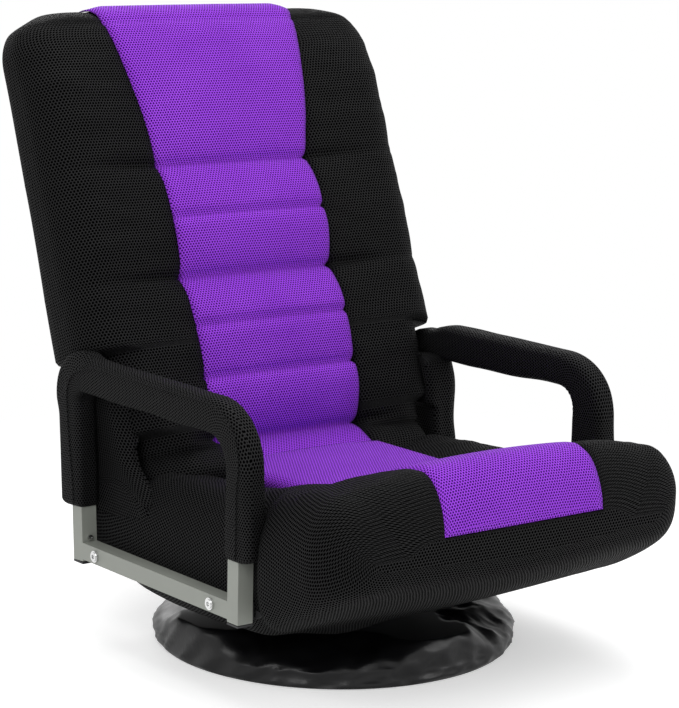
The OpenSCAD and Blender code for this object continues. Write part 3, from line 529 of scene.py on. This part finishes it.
def back_top(u, row, depth=1.0):
    """Height of the front face. Depth fades the stitched valleys towards the sides."""
    if u <= CREASE:
        return lobe_v(u) - SEAM_DIP
    height = padded_row(u, row)
    if depth < 1:
        height = depth * height + (1 - depth) * curve_along(u, SIDE_ROW)
    if u < 65:
        height = min(height, lobe_v(u) - SEAM_DIP - 2.4 * puff(u))
    return CLOSE_V + (height - CLOSE_V) * crown(u)


def back_bottom(u):
    """Height of the rear face, below the middle plane."""
    if u < 0:
        return -min(BACK_REAR, lobe_v(u))
    depth = smooth_along(u, [[0, 46], [FOOT_TOP, 58], [200, 55.6], [400, 48], [560, BACK_REAR]])
    return CLOSE_V - (depth + CLOSE_V) * crown(u)


def panel_half(u):
    """The purple panel widens over the head."""
    if u <= HEAD_SEAM:
        return PANEL_HALF
    return PANEL_HALF + (PANEL_TOP_HALF - PANEL_HALF) * (u - HEAD_SEAM) / (BACK_LEN - HEAD_SEAM)


def back_point(x, v, u):
    """Backrest's own axes, across, forwards and up, to the chair's."""
    a = math.radians(LEAN)
    return (x, pin_y + u * math.sin(a) - v * math.cos(a), pin_z + u * math.cos(a) + v * math.sin(a))


def spaced(marks, step):
    """Places from the first mark to the last, about one step apart, with every mark among them."""
    places = []
    for a, b in zip(marks, marks[1:]):
        n = max(1, round((b - a) / step))
        places += [a + (b - a) * i / n for i in range(n)]
    return places + [marks[-1]]


BACK_PLACES = spaced([-76, -50, CREASE, LOW_SEAM, FOOT_TOP, WAIST_LOW, 146, SHOULDER, SHOULDER + SHOULDER_R,
                      210, 271, 344, HEAD_SEAM, BACK_LEN - CORNER, BACK_LEN - CROWN], 5.0)
BACK_PLACES += [BACK_LEN - CROWN + CROWN * math.sin(math.radians(a)) for a in range(8, 89, 8)]
print("backrest", len(BACK_PLACES), "sections")

# %% [markdown]
# The black part of the back is one tube of cloth. A section starts at the purple panel's edge, goes
# over the bolster, round the side and across the rear, and is then mirrored. The stitches pull it in
# beside the panel, noise gives it small folds, and the far shoulder sags over the armrest.

# %% Backrest: black cushion


def back_section(u):
    """Ring of points at u: from the panel's edge over the bolster, round the side and across the rear."""
    half, p = back_half_width(u), panel_half(u)
    bottom = back_bottom(u)
    edge = min(back_top(u, PANEL_ROW), back_top(u, BOLSTER_ROW)) - 3 * crown(u)
    floor = edge - (14 if LOW_SEAM - 1 < u < BACK_LEN - 80 else 5) * crown(u)
    tip = back_top(u, BOLSTER_ROW, 0.35)
    mid = bottom + 0.55 * (tip - bottom)
    r = min(SIDE_R, half - p - 6)
    c = half - r
    points = [(p - PANEL_LAP, floor), (p, floor), (p, edge)]
    for k in range(1, 19):
        f = k / 18
        crest = back_top(u, BOLSTER_ROW, 1 - 0.65 * ease(f))
        crest += 3 * puff(u) * math.sin(f * math.pi / 2) * crown(u)
        dip = (crest - edge) * (1 - min(1.0, f * (c - p) / SEAM_GROOVE)) ** 2.2
        points.append((p + (c - p) * f, crest - dip))
    high = points[-1][1]
    for k in range(1, 13):
        a = math.radians(90 - 90 * k / 12)
        points.append((c + r * math.cos(a), mid + (high - mid) * math.sin(a)))
    for k in range(1, 13):
        a = math.radians(90 * k / 12)
        points.append((c + r * abs(math.cos(a)) ** 0.6, mid - (mid - bottom) * math.sin(a) ** 0.6))
    for k in range(1, 11):
        f = k / 10
        points.append((c * (1 - f), bottom - 3 * math.sin(f * math.pi / 2) * crown(u)))
    ring = points + [(-x, v) for x, v in points[-2::-1]]
    pull, calm = stitch(u, BOLSTER_ROW, 3.5), crown(u) * puff(u)

    def stitched(x):
        return pull * (1 - step(abs(x), p + 20, half - 40)) * step(abs(x), p - 3, p + 4)

    ring = [(x, v + wrinkle(x, u, 2.2) * calm - stitched(x) if v > mid and abs(x) > p + 1 else v)
            for x, v in ring]
    bulge = 18 * step(u, 8, 40) * (1 - step(u, 84, 118))
    ring = [(x, v + bulge * step(-x, 97, 114) * (1 - step(-x, 160, 205)) if v > mid else v) for x, v in ring]
    sag = 10 * (1 - step(u, 190, 235))
    drop = 7 * step(u, 590, 616)
    return [back_point(x, v, u - sag * step(x, 236, 250) - drop * step(abs(x), p - 24, p - 5))
            for x, v in ring]


back_cloth = cloth_object("back_cushion_cloth", [back_section(u) for u in BACK_PLACES], black_mesh)
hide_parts("back_cushion")
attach(back_cloth, "backrest")

# %% [markdown]
# The purple panel is sewn into the black cloth, on its own strip of foam. It is a second loft over
# the same places, a few millimetres proud, with rounded edges where the two cloths meet.

# %% Backrest: purple panel


def panel_ring(half, top, floor, crown_up, edge_r, edge_drop, across=24):
    """Ring of a padded panel's section: a crowned top with rounded edges, and a flat underside."""
    points = []
    for k in range(across + 1):
        f = -1 + 2 * k / across
        f = math.copysign(abs(f) ** 0.8, f)
        x = half * f
        inset = min(1.0, (half - abs(x)) / edge_r)
        points.append((x, top + crown_up * (1 - f * f) - edge_drop * (1 - quarter(1 - inset))))
    for k in range(5):
        points.append((half * (1 - k / 2), floor))
    return points


def back_panel_section(u):
    top = back_top(u, PANEL_ROW)
    floor = top - (14 if LOW_SEAM - 1 < u < BACK_LEN - 80 else 4.5) * crown(u) - 3
    half = panel_half(u) - 0.3
    ring = panel_ring(half, top + 1, floor, 4 * crown(u), 10, 5 * crown(u))
    pull = stitch(u, PANEL_ROW)
    ring = [(x, v - pull + wrinkle(x, u, 1.0) * crown(u) * puff(u) if v > floor + 2 else v) for x, v in ring]
    return [back_point(x, v, u - 4 * step(abs(x), half - 22, half) * step(u, 600, 622)) for x, v in ring]


panel_places = [u for u in BACK_PLACES if u >= -60]
back_panel_rows = [back_panel_section(u) for u in panel_places]
back_panel_cloth = cloth_object("back_centre_panel_cloth", back_panel_rows, purple_mesh)
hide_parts("back_centre_panel")
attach(back_panel_cloth, "backrest")

# %% [markdown]
# The seat is lofted from front to rear. SIT is the height of its middle line, with a steep round
# front, a high front edge and a dip for the sitter. BELLY is its underside, which hangs low over the
# base. Its places are measured from the swivel's axis. The seat is wide at its front and narrows
# between the armrests.

# %% Seat: its curves, along the chair from the front
# Front end, round of the front corners, and half widths at the front and between the armrests.
SEAT_FRONT, SEAT_CORNER, SEAT_HALF, SEAT_WAIST = -334.0, 56.0, 262.0, 244.6
# The armrest's front leg, and half its width with some room.
FRONT_LEG, LEG_ROOM = -158.5, 11.0
# Half the width of the purple panel, and the round of the lower sides.
SEAT_PANEL, UNDER_R = 115.0, 70.0
SIT = [[SEAT_FRONT, 209], [-332, 226], [-326, 245], [-317, 261], [-306, 271.5], [-293, 276], [-281, 275],
       [-250, 267], [-200, 247], [-150, 228], [-96, 209], [-50, 198], [0, 195.5], [50, 193], [110, 186],
       [155, 178], [172, 150]]
BELLY = [[SEAT_FRONT, 172], [-330, 157], [-318, 142], [-296, 124], [-260, 105], [-220, 89], [-180, 75],
         [-145, 64], [0, 62], [60, 65], [110, 77], [150, 96], [172, 130]]
FRONT_LIFT = [[-330, 8], [-296, 13], [-240, 9], [-180, 6], [-130, 3], [-60, 0]]
SEAT_PLACES = [SEAT_FRONT + 34 * (1 - math.cos(math.radians(a))) for a in range(0, 90, 6)]
SEAT_PLACES += spaced([-300, -250, FRONT_LEG - 33, FRONT_LEG - 11, -96, 0, 60, 130, 172], 5.0)
print("seat", len(SEAT_PLACES), "sections")


def seat_half_width(y):
    """Round front corners, full width, then the waist between the armrests."""
    if y > SEAT_FRONT + SEAT_CORNER:
        return SEAT_HALF + (SEAT_WAIST - SEAT_HALF) * step(y, FRONT_LEG - 46, FRONT_LEG - LEG_ROOM)
    return SEAT_HALF - SEAT_CORNER + SEAT_CORNER * quarter((SEAT_FRONT + SEAT_CORNER - y) / SEAT_CORNER)


def seat_bolster(y):
    """How much higher the bolster is than the middle line."""
    return smooth_along(y, [[-300, -16], [-230, -8], [-150, 8.5], [-60, 17], [60, 17], [130, 0]])


def seat_point(x, y, z):
    """From the swivel's axis to the chair's own middle."""
    return (x, y + base_y, z)


def slack(x, y):
    """How far the slack cloth under the seat hangs down in a soft fold. It stays clear of the rivet."""
    fold = math.exp(-((x + 120 + 0.6 * (y + 172)) / 34) ** 2 - ((y + 172) / 26) ** 2)
    over_rivet = 4.5 * math.exp(-(x * x + y * y) / 45 ** 2)
    return 11 * fold + 3 * math.exp(-((x + 40) / 60) ** 2 - ((y + 190) / 30) ** 2) - over_rivet


# %% [markdown]
# A section of the seat is made as one of the back is: from the panel's edge over the bolster, round
# the side and across the underside. The bolsters are lower than the panel at the front and higher
# beside the sitter. Under the front the slack cloth hangs down in one soft fold.

# %% Seat: black cushion


def seat_section(y):
    half, p = seat_half_width(y), SEAT_PANEL
    top, bottom = curve_along(y, SIT), curve_along(y, BELLY)
    up = seat_bolster(y)
    edge = max(top - 3, bottom + 20)
    floor = max(edge - 14, bottom + 12)
    if y < -316:
        floor = min(edge - 1, 208)
    mid = bottom + 0.55 * (top - bottom)
    r = min(SIDE_R, half - p - 6)
    c = half - r
    points = [(p - PANEL_LAP, floor), (p, floor), (p, edge)]
    for k in range(1, 13):
        f = k / 12
        crest = top + up * (f * f if up < 0 else math.sin(f * math.pi / 2))
        dip = (crest - edge) * (1 - min(1.0, f * (c - p) / SEAM_GROOVE)) ** 2.2
        x = p + (c - p) * f
        points.append((x, crest - dip + wrinkle(x, y + 900, 2.2) * min(1.0, f * 4)))
    high = points[-1][1]
    for k in range(1, 13):
        a = math.radians(90 - 90 * k / 12)
        points.append((c + r * math.cos(a), mid + (high - mid) * math.sin(a)))
    lift = smooth_along(y, FRONT_LIFT)
    low = bottom + lift
    for k in range(1, 17):
        a = math.radians(90 * k / 16)
        x = half - UNDER_R + UNDER_R * abs(math.cos(a)) ** 0.6
        points.append((x, mid - (mid - low) * math.sin(a) ** 0.6))
    for k in range(1, 19):
        f = 1 - k / 18
        points.append(((half - UNDER_R) * f, bottom + lift * f ** 1.3))
    ring = points + [(-x, z) for x, z in points[-2::-1]]
    return [seat_point(x, y, z - (slack(x, y) if z < mid else 0)) for x, z in ring]


seat_cloth = cloth_object("seat_cushion_cloth", [seat_section(y) for y in SEAT_PLACES], black_mesh)
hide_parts("seat_cushion")
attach(seat_cloth, "seat")


# %% [markdown]
# The seat's purple panel runs on from the back's, over the front edge and a little down its face,
# where it ends in a straight seam.

# %% Seat: purple panel


def seat_panel_section(y):
    top = max(curve_along(y, SIT), 212)
    floor = 209 if y < -316 else top - 15
    ring = panel_ring(SEAT_PANEL - 0.3, top + 1, floor, 4, 10, 5)
    return [seat_point(x, y, z) for x, z in ring]


seat_panel_places = [y for y in SEAT_PLACES if y < 62]
seat_panel_rows = [seat_panel_section(y) for y in seat_panel_places]
seat_panel_cloth = cloth_object("seat_centre_panel_cloth", seat_panel_rows, purple_mesh)
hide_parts("seat_centre_panel")
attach(seat_panel_cloth, "seat")

# %% [markdown]
# On each side the seat's cloth reaches back round the end of its side tube and hides the hinge. It
# could be part of the seat's loft, but a loft can't turn that corner cleanly, so it is a soft disc
# of its own, skinned from rings that lie side by side.

# %% Seat: soft ends over the hinges
HINGE_Y = pin_y - base_y
WING_RISE = 54.0
WING_ROWS = [(223.6, 0.80), (224.2, 0.88), (226, 0.94), (229, 0.98), (233, 1.0), (236, 0.995),
             (238.5, 0.975), (240.4, 0.94), (241.2, 0.88), (241.4, 0.78)]


def seat_wing(side):
    """Soft disc: each row is its distance from the middle and its share of the full outline."""
    rows = []
    for x, share in WING_ROWS:
        ring = []
        for k in range(56):
            a = 2 * math.pi * k / 56
            wave = 1 + 0.006 * math.sin(5 * a + 1.3 * side) + 0.004 * math.sin(9 * a)
            ring.append(seat_point(side * x, HINGE_Y + LOBE * share * wave * math.cos(a),
                                   pin_z + WING_RISE * share * wave * math.sin(a)))
        rows.append(ring)
    wing = cloth_object("seat_wing_" + ("left" if side > 0 else "right"), rows, black_mesh)
    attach(wing, "seat")


# %% [markdown]
# The foot of the backrest is soft, and swells out between the seat and the armrest's bar. On the far
# side it shows against the white background.

# %% Backrest: soft rolls at its foot
ROLL_LOW, ROLL_HIGH = 176.0, 290.0
ROLL_INNER, ROLL_CORE = 225.5, 222.0
ROLL_HEIGHTS = [ROLL_LOW + 3 * (1 - math.cos(math.radians(a))) for a in range(0, 91, 15)]
ROLL_HEIGHTS += spaced([182, ROLL_HIGH], 5)[1:]
ROLL_HEIGHTS += [ROLL_HIGH + 12 * math.sin(math.radians(a)) for a in range(10, 86, 10)]


def side_roll(side):
    """Upright roll, skinned from flat rings. It ends narrow at its top and its foot."""
    rows = []
    widest, round_r = (267.0, 20.0) if side > 0 else (240.4, 18.0)
    for z in ROLL_HEIGHTS:
        end = max(quarter(min(1.0, max(0.0, (z - ROLL_HIGH) / 12.2))), 0.12)
        low = 0.82 + 0.18 * quarter(1 - min(1.0, (z - 175.9) / 6))
        far_x = ROLL_CORE + (widest + 1.5 * math.sin(z / 19 + side) - ROLL_CORE) * end * low
        if side > 0:
            front = 91.5 + 0.105 * (z - 235) - 2.0 * math.sin(z / 13) + 14 * (1 - end)
            rear = 147.0 - 16 * (1 - end)
        else:
            front = 99 + 0.35 * (z - 235) + smooth_along(z, [[176, -40], [222, 0]]) + 14 * (1 - end)
            rear = 186.0
        inner = ROLL_INNER - 11 * step(z, 236, 242)
        ring = [(inner, front + 3), (inner, rear)]
        corners = ((far_x - 12, rear - 12, 12, 90), (far_x - round_r, front + round_r, round_r, 0))
        for cx, cy, r, turn in corners:
            for k in range(11):
                a = math.radians(turn - 9 * k)
                ring.append((cx + r * math.cos(a), cy + r * math.sin(a)))
        for k in range(1, 6):
            ring.append((far_x - round_r + (inner + 1 - far_x + round_r) * k / 6, front + 0.6 * math.sin(k)))
        wave = [1.2 * noise.noise(Vector((x * 0.03, y * 0.03, z * 0.035 + 5 * side))) for x, y in ring]
        rows.append([seat_point(side * x, y + w, z) for (x, y), w in zip(ring, wave)])
    roll = cloth_object("back_side_roll_" + ("left" if side > 0 else "right"), rows, black_mesh)
    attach(roll, "backrest")
    if side > 0:
        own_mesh(roll)


for side in (1, -1):
    seat_wing(side)
    side_roll(side)

# %% [markdown]
# Each armrest wears a mesh sleeve over foam. The foam lies mostly on the outside of the loop, the
# sleeve is closed with a raised welt that wanders over its outer face, and both ends are tucked in.
# A curve with a bevel could follow the loop, but its section can't be thicker on one side, so the
# sleeve is skinned from rounded rectangles along the tube's middle line.

# %% Armrest sleeves: their path
ARM_X, BAR_Z, BEND_FRONT, BEND_REAR = 255, 311.5, 45.0, 24.0
LEG_REAR, LEG_FOOT, LEG_LEAN = 155.5, 95.5, math.radians(3.2)
REAR_TOP = LEG_REAR + (BAR_Z - LEG_FOOT) * math.tan(LEG_LEAN)
WELT_PLACES = [[0, 11.5], [0.12, 12], [0.24, 20], [0.34, 22.5], [0.66, 22], [0.8, 6], [1, -1.5]]


def loop_points(z_front, z_rear):
    """Middle of the armrest's tube and its outward direction, from the front leg's pad to the rear one."""
    front = (FRONT_LEG + BEND_FRONT, BAR_Z - BEND_FRONT)
    rear = (REAR_TOP - BEND_REAR * (math.tan(LEG_LEAN) + 1 / math.cos(LEG_LEAN)), BAR_Z - BEND_REAR)
    heights = [z_front + d for d in (0.0, 0.8, 2.0, 4.0, 6.5)]
    heights += [z for z in spaced([z_front, z_front + 9, front[1]], 4.0)[:-1] if z > z_front + 8]
    places = [(FRONT_LEG, z, -1.0, 0.0) for z in heights]
    for k in range(19):
        a = math.radians(180 - 5 * k)
        places.append((front[0] + BEND_FRONT * math.cos(a), front[1] + BEND_FRONT * math.sin(a),
                       math.cos(a), math.sin(a)))
    for y in spaced([front[0], rear[0]], 5.0)[1:-1]:
        places.append((y, BAR_Z, 0.0, 1.0))
    for k in range(17):
        a = math.radians(90) - k / 16 * (math.radians(90) + LEG_LEAN)
        places.append((rear[0] + BEND_REAR * math.cos(a), rear[1] + BEND_REAR * math.sin(a),
                       math.cos(a), math.sin(a)))
    out = (math.cos(LEG_LEAN), -math.sin(LEG_LEAN))
    start = places[-1]
    run = (start[1] - z_rear) / math.cos(LEG_LEAN)
    for d in spaced([5, run - 8], 4.0) + [run - 6.5, run - 4, run - 2, run - 0.8, run]:
        places.append((start[0] - d * math.sin(LEG_LEAN), start[1] - d * math.cos(LEG_LEAN), *out))
    return places


def rounded_box(lo, hi, low_r, high_r, per_corner=7, per_side=7):
    """Ring round a rectangle: (outwards, across). The corners outside the loop have radius high_r."""
    ring = []
    corners = ((hi[0] - high_r, hi[1] - high_r, high_r), (lo[0] + low_r, hi[1] - low_r, low_r),
               (lo[0] + low_r, lo[1] + low_r, low_r), (hi[0] - high_r, lo[1] + high_r, high_r))
    ends = ((lo[0] + low_r, hi[1]), (lo[0], lo[1] + low_r), (hi[0] - high_r, lo[1]), (hi[0], hi[1] - high_r))
    for i, (cx, cy, r) in enumerate(corners):
        for k in range(per_corner):
            a = math.radians(90 * i + 90 * k / (per_corner - 1))
            ring.append((cx + r * math.cos(a), cy + r * math.sin(a)))
        last = ring[-1]
        for k in range(1, per_side):
            t = k / per_side
            ring.append((last[0] + (ends[i][0] - last[0]) * t, last[1] + (ends[i][1] - last[1]) * t))
    return ring


# %% [markdown]
# The foam is thicker outside the loop than inside it, and differs a little between the two armrests:
# the near one is full at its rear bend, and the far one slopes off towards the backrest. The foam's
# measures are given along the loop, s, from the front leg's end to the rear leg's end.

# %% Armrest sleeves: foam and cloth


def foam(s, total, side):
    """Foam's thickness at s outside the loop and inside it."""
    flare = 6 * (1 - step(s, 20, 110))
    if side > 0:
        behind = 5 * step(s, 0, 40) * (1 - step(s, 118, 168))
        behind += 6 * step(s, 440, 500) - 10 * step(s, 372, 426)
        inside = 6 * (1 - step(s, 90, 150)) + 4.5 * step(s, 180, 300)
    else:
        behind = 5.0 * step(s, 0.62 * total, 0.82 * total)
        behind += 8 * math.sin(math.pi * min(1.0, max(0.0, (s / total - 0.69) / 0.13))) ** 1.5
        inside = 0
    return 15.8 + flare + behind, 2.5 + inside + 0.5 * math.sin(s / 17)


def welt_bead(y, z, oy, oz, place, side):
    """Ring of the raised welt, at a place outwards on the sleeve's outer face."""
    face = 269.8 + 1.0 * max(0.0, 1 - ((place - 7) / 19) ** 2) - (0.9 if place > 19 else 0)
    bead = []
    for k in range(10):
        b = 2 * math.pi * k / 10
        o = place + 1.7 * math.sin(b)
        bead.append((side * (face + 1.5 * math.cos(b)), y + base_y + o * oy, z + o * oz))
    return bead


def sleeve(side):
    places = loop_points(166.5, 160.5)
    steps = np.array(places)[:, :2]
    run = np.concatenate([[0], np.cumsum(np.linalg.norm(np.diff(steps, axis=0), axis=1))])
    total = run[-1]
    rows, welt_rows = [], []
    for (y, z, oy, oz), s in zip(places, run):
        outside, inside = foam(s, total, side)
        tuck = quarter(1 - min(1.0, min(s, total - s) / 7.0))
        bend = 1.0 if abs(oy) < 0.98 and abs(oz) < 0.98 else 0.0
        hi = (10.6 + outside * tuck, 10.4 + 4.2 * tuck)
        lo = (-10.5 - inside * tuck, -10.4 - 3.6 * tuck)
        ring = []
        for o, across in rounded_box(lo, hi, 3 + 3.5 * tuck, 3 + 4.5 * tuck):
            fold = 0.55 * math.sin(s * 0.9 + across * 0.12) * bend * step(-o, 2, 11)
            soft = 0.7 * noise.noise(Vector((s * 0.021, o * 0.05, across * 0.05 + 7 * side)))
            crown_out = 1.6 * tuck * (1 - min(1.0, abs(across) / 14) ** 2) if o > 20 * tuck else 0.0
            crown_side = 1.3 * tuck * max(0.0, 1 - ((o - 7) / 19) ** 2) * math.copysign(1, across)
            o += crown_out + (soft + fold if abs(o) > 9 else 0)
            across += crown_side if abs(across) > 12 * tuck else 0
            ring.append((side * (ARM_X + across), y + base_y + o * oy, z + o * oz))
        rows.append(ring)
        if 3 < s < total - 3:
            place = min(smooth_along(s / total, WELT_PLACES), 6.1 + outside)
            welt_rows.append(welt_bead(y, z, oy, oz, place, side))
    label = "left" if side > 0 else "right"
    piece = cloth_object("armrest_sleeve_" + label, rows, sleeve_mesh)
    welt = cloth_object("armrest_welt_" + label, welt_rows, sleeve_mesh)
    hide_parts("armrest_pad_" + label)
    for item in (piece, welt):
        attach(item, "seat")


for side in (1, -1):
    sleeve(side)

# %% [markdown]
# The base's cover is a thin, stiff woven cloth. It is stretched over the crossed arms and the ring,
# sags between them in flat facets with sharp ridges, and hangs to the floor. A cloth simulation gives
# round folds, which is wrong for it, so the sheet is laid by a formula, and a cell noise makes the
# facets. Its material is a smooth black weave with a little gloss, so that each facet catches the
# light in its own way.

# %% Base cover: its cloth
cover_cloth, cover_tree = new_material("woven_cover_cloth")
cover_place = add_node(cover_tree, "ShaderNodeTexCoord")
cover_cloud = add_node(cover_tree, "ShaderNodeTexNoise", {"Scale": 16.0, "Detail": 5.0},
                       {"Vector": cover_place.outputs["Object"]})
cover_tone = add_node(cover_tree, "ShaderNodeMix", {"data_type": "RGBA"}, {0: cover_cloud.outputs["Fac"]})
cover_tone.inputs[6].default_value = linear("040405")
cover_tone.inputs[7].default_value = linear("0A0A0C")
cover_weave = add_node(cover_tree, "ShaderNodeTexNoise", {"Scale": 420.0, "Detail": 2.0},
                       {"Vector": cover_place.outputs["Object"]})
cover_bump = add_node(cover_tree, "ShaderNodeBump", {"Strength": 0.3, "Distance": 0.0003},
                      {"Height": cover_weave.outputs["Fac"]})
cover_shader = add_node(cover_tree, "ShaderNodeBsdfPrincipled",
                        {"Roughness": 0.38, "Specular IOR Level": 0.30},
                        {"Base Color": cover_tone.outputs[2], "Normal": cover_bump.outputs[0]})
finish_material(cover_tree, cover_shader)


# %% [markdown]
# The cover's shape is one formula. A point's way runs from the hub's hole over the flat top, round
# the shoulder and down the wall to the floor. Over the four crossed arms the top stays high and its
# shoulder is far out. Between them it sags. The last lines keep the cloth outside the steel ring.

# %% Base cover: its shape
RING_R, RING_TUBE = 200.0, 9.5
HUB_R, HUB_Z = 104, 48.8
WALL_Z, WALL_R = 19, 211.6


def facet(x, y, scale, size):
    """Sharp ridges between shallow hollows, like the folds of a stiff cloth."""
    near = noise.voronoi(Vector((x / scale, y / scale, 0.3)))[0]
    return size * (0.5 - min(1.0, near[1] - near[0]))


def cover_point(turn, way):
    """Point on the cover: turn is the angle, way goes from 0 at the hub's hole to 1 at the floor."""
    arm = abs((math.degrees(turn) + 45) % 90 - 45)
    over_arm = 1 - step(arm, 4, 27)
    rim = WALL_R + 4.2 * max(0.0, math.cos(turn - math.radians(175)))
    shoulder = 146 + 47 * over_arm
    high = 45.9 + 0.6 * over_arm
    sag = 3.0 * (1 - over_arm)
    if way < 0.5:
        t = way / 0.5
        r = HUB_R + (shoulder - HUB_R) * t
        z = HUB_Z + (high - HUB_Z) * t - sag * math.sin(math.pi / 2 * t) ** 1.2
    elif way < 0.84:
        a = math.radians(90) * (way - 0.5) / 0.34
        e = 1.55 - 1.05 * over_arm
        r = shoulder + (rim - shoulder) * math.sin(a) ** e
        z = WALL_Z + (high - sag - WALL_Z) * abs(math.cos(a)) ** e
    else:
        t = (way - 0.84) / 0.16
        z = WALL_Z - 18 * t
        r = rim - 2.6 * t * t + 7 * max(0.0, math.cos(turn - math.radians(232))) ** 2 * t * t
    x, y = r * math.cos(turn), r * math.sin(turn)
    calm = min(1.0, way / 0.1) * min(1.0, (1 - way) / 0.05)
    crease = (facet(x, y, 62, 11.0) + facet(x + 300, y, 28, 4.5)) * calm
    z = min(z + crease * (1 - step(way, 0.72, 0.84)), high + 1.8) if way < 0.84 else z
    wall = facet(x, y + z, 36, 6.5) + facet(x + 80, y + z * 2, 17, 2.4)
    r += max(wall, -0.6) * step(way, 0.62, 0.8) * min(1.0, (1 - way) / 0.03)
    gap = RING_TUBE ** 2 - (z - 5 - RING_TUBE) ** 2
    least = RING_R + math.sqrt(gap) + 1.0 if gap > 0 else 0.0
    if z < 6:
        least = max(least, 209.0)
    r = max(r, least)
    return r * math.cos(turn), r * math.sin(turn) + base_y, z


def base_cover():
    around, down = 240, 56
    verts, faces = [], []
    for j in range(down + 1):
        for i in range(around):
            x, y, z = cover_point(2 * math.pi * i / around, j / down)
            verts.append((x * MM, y * MM, z * MM))
    for j in range(down):
        for i in range(around):
            k = (i + 1) % around
            faces.append((j * around + i, (j + 1) * around + i, (j + 1) * around + k, j * around + k))
    mesh = bpy.data.meshes.new("base_cover_cloth")
    mesh.from_pydata(verts, [], faces)
    mesh.polygons.foreach_set("use_smooth", [True] * len(faces))
    mesh.materials.append(cover_cloth)
    cover = bpy.data.objects.new("base_cover_cloth", mesh)
    bpy.context.scene.collection.objects.link(cover)
    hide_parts("base_cover")
    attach(cover, "base")
    return cover


base_cover()

# %% [markdown]
# The last line brings the scene up to date.

# %% Finish
bpy.context.view_layer.update()
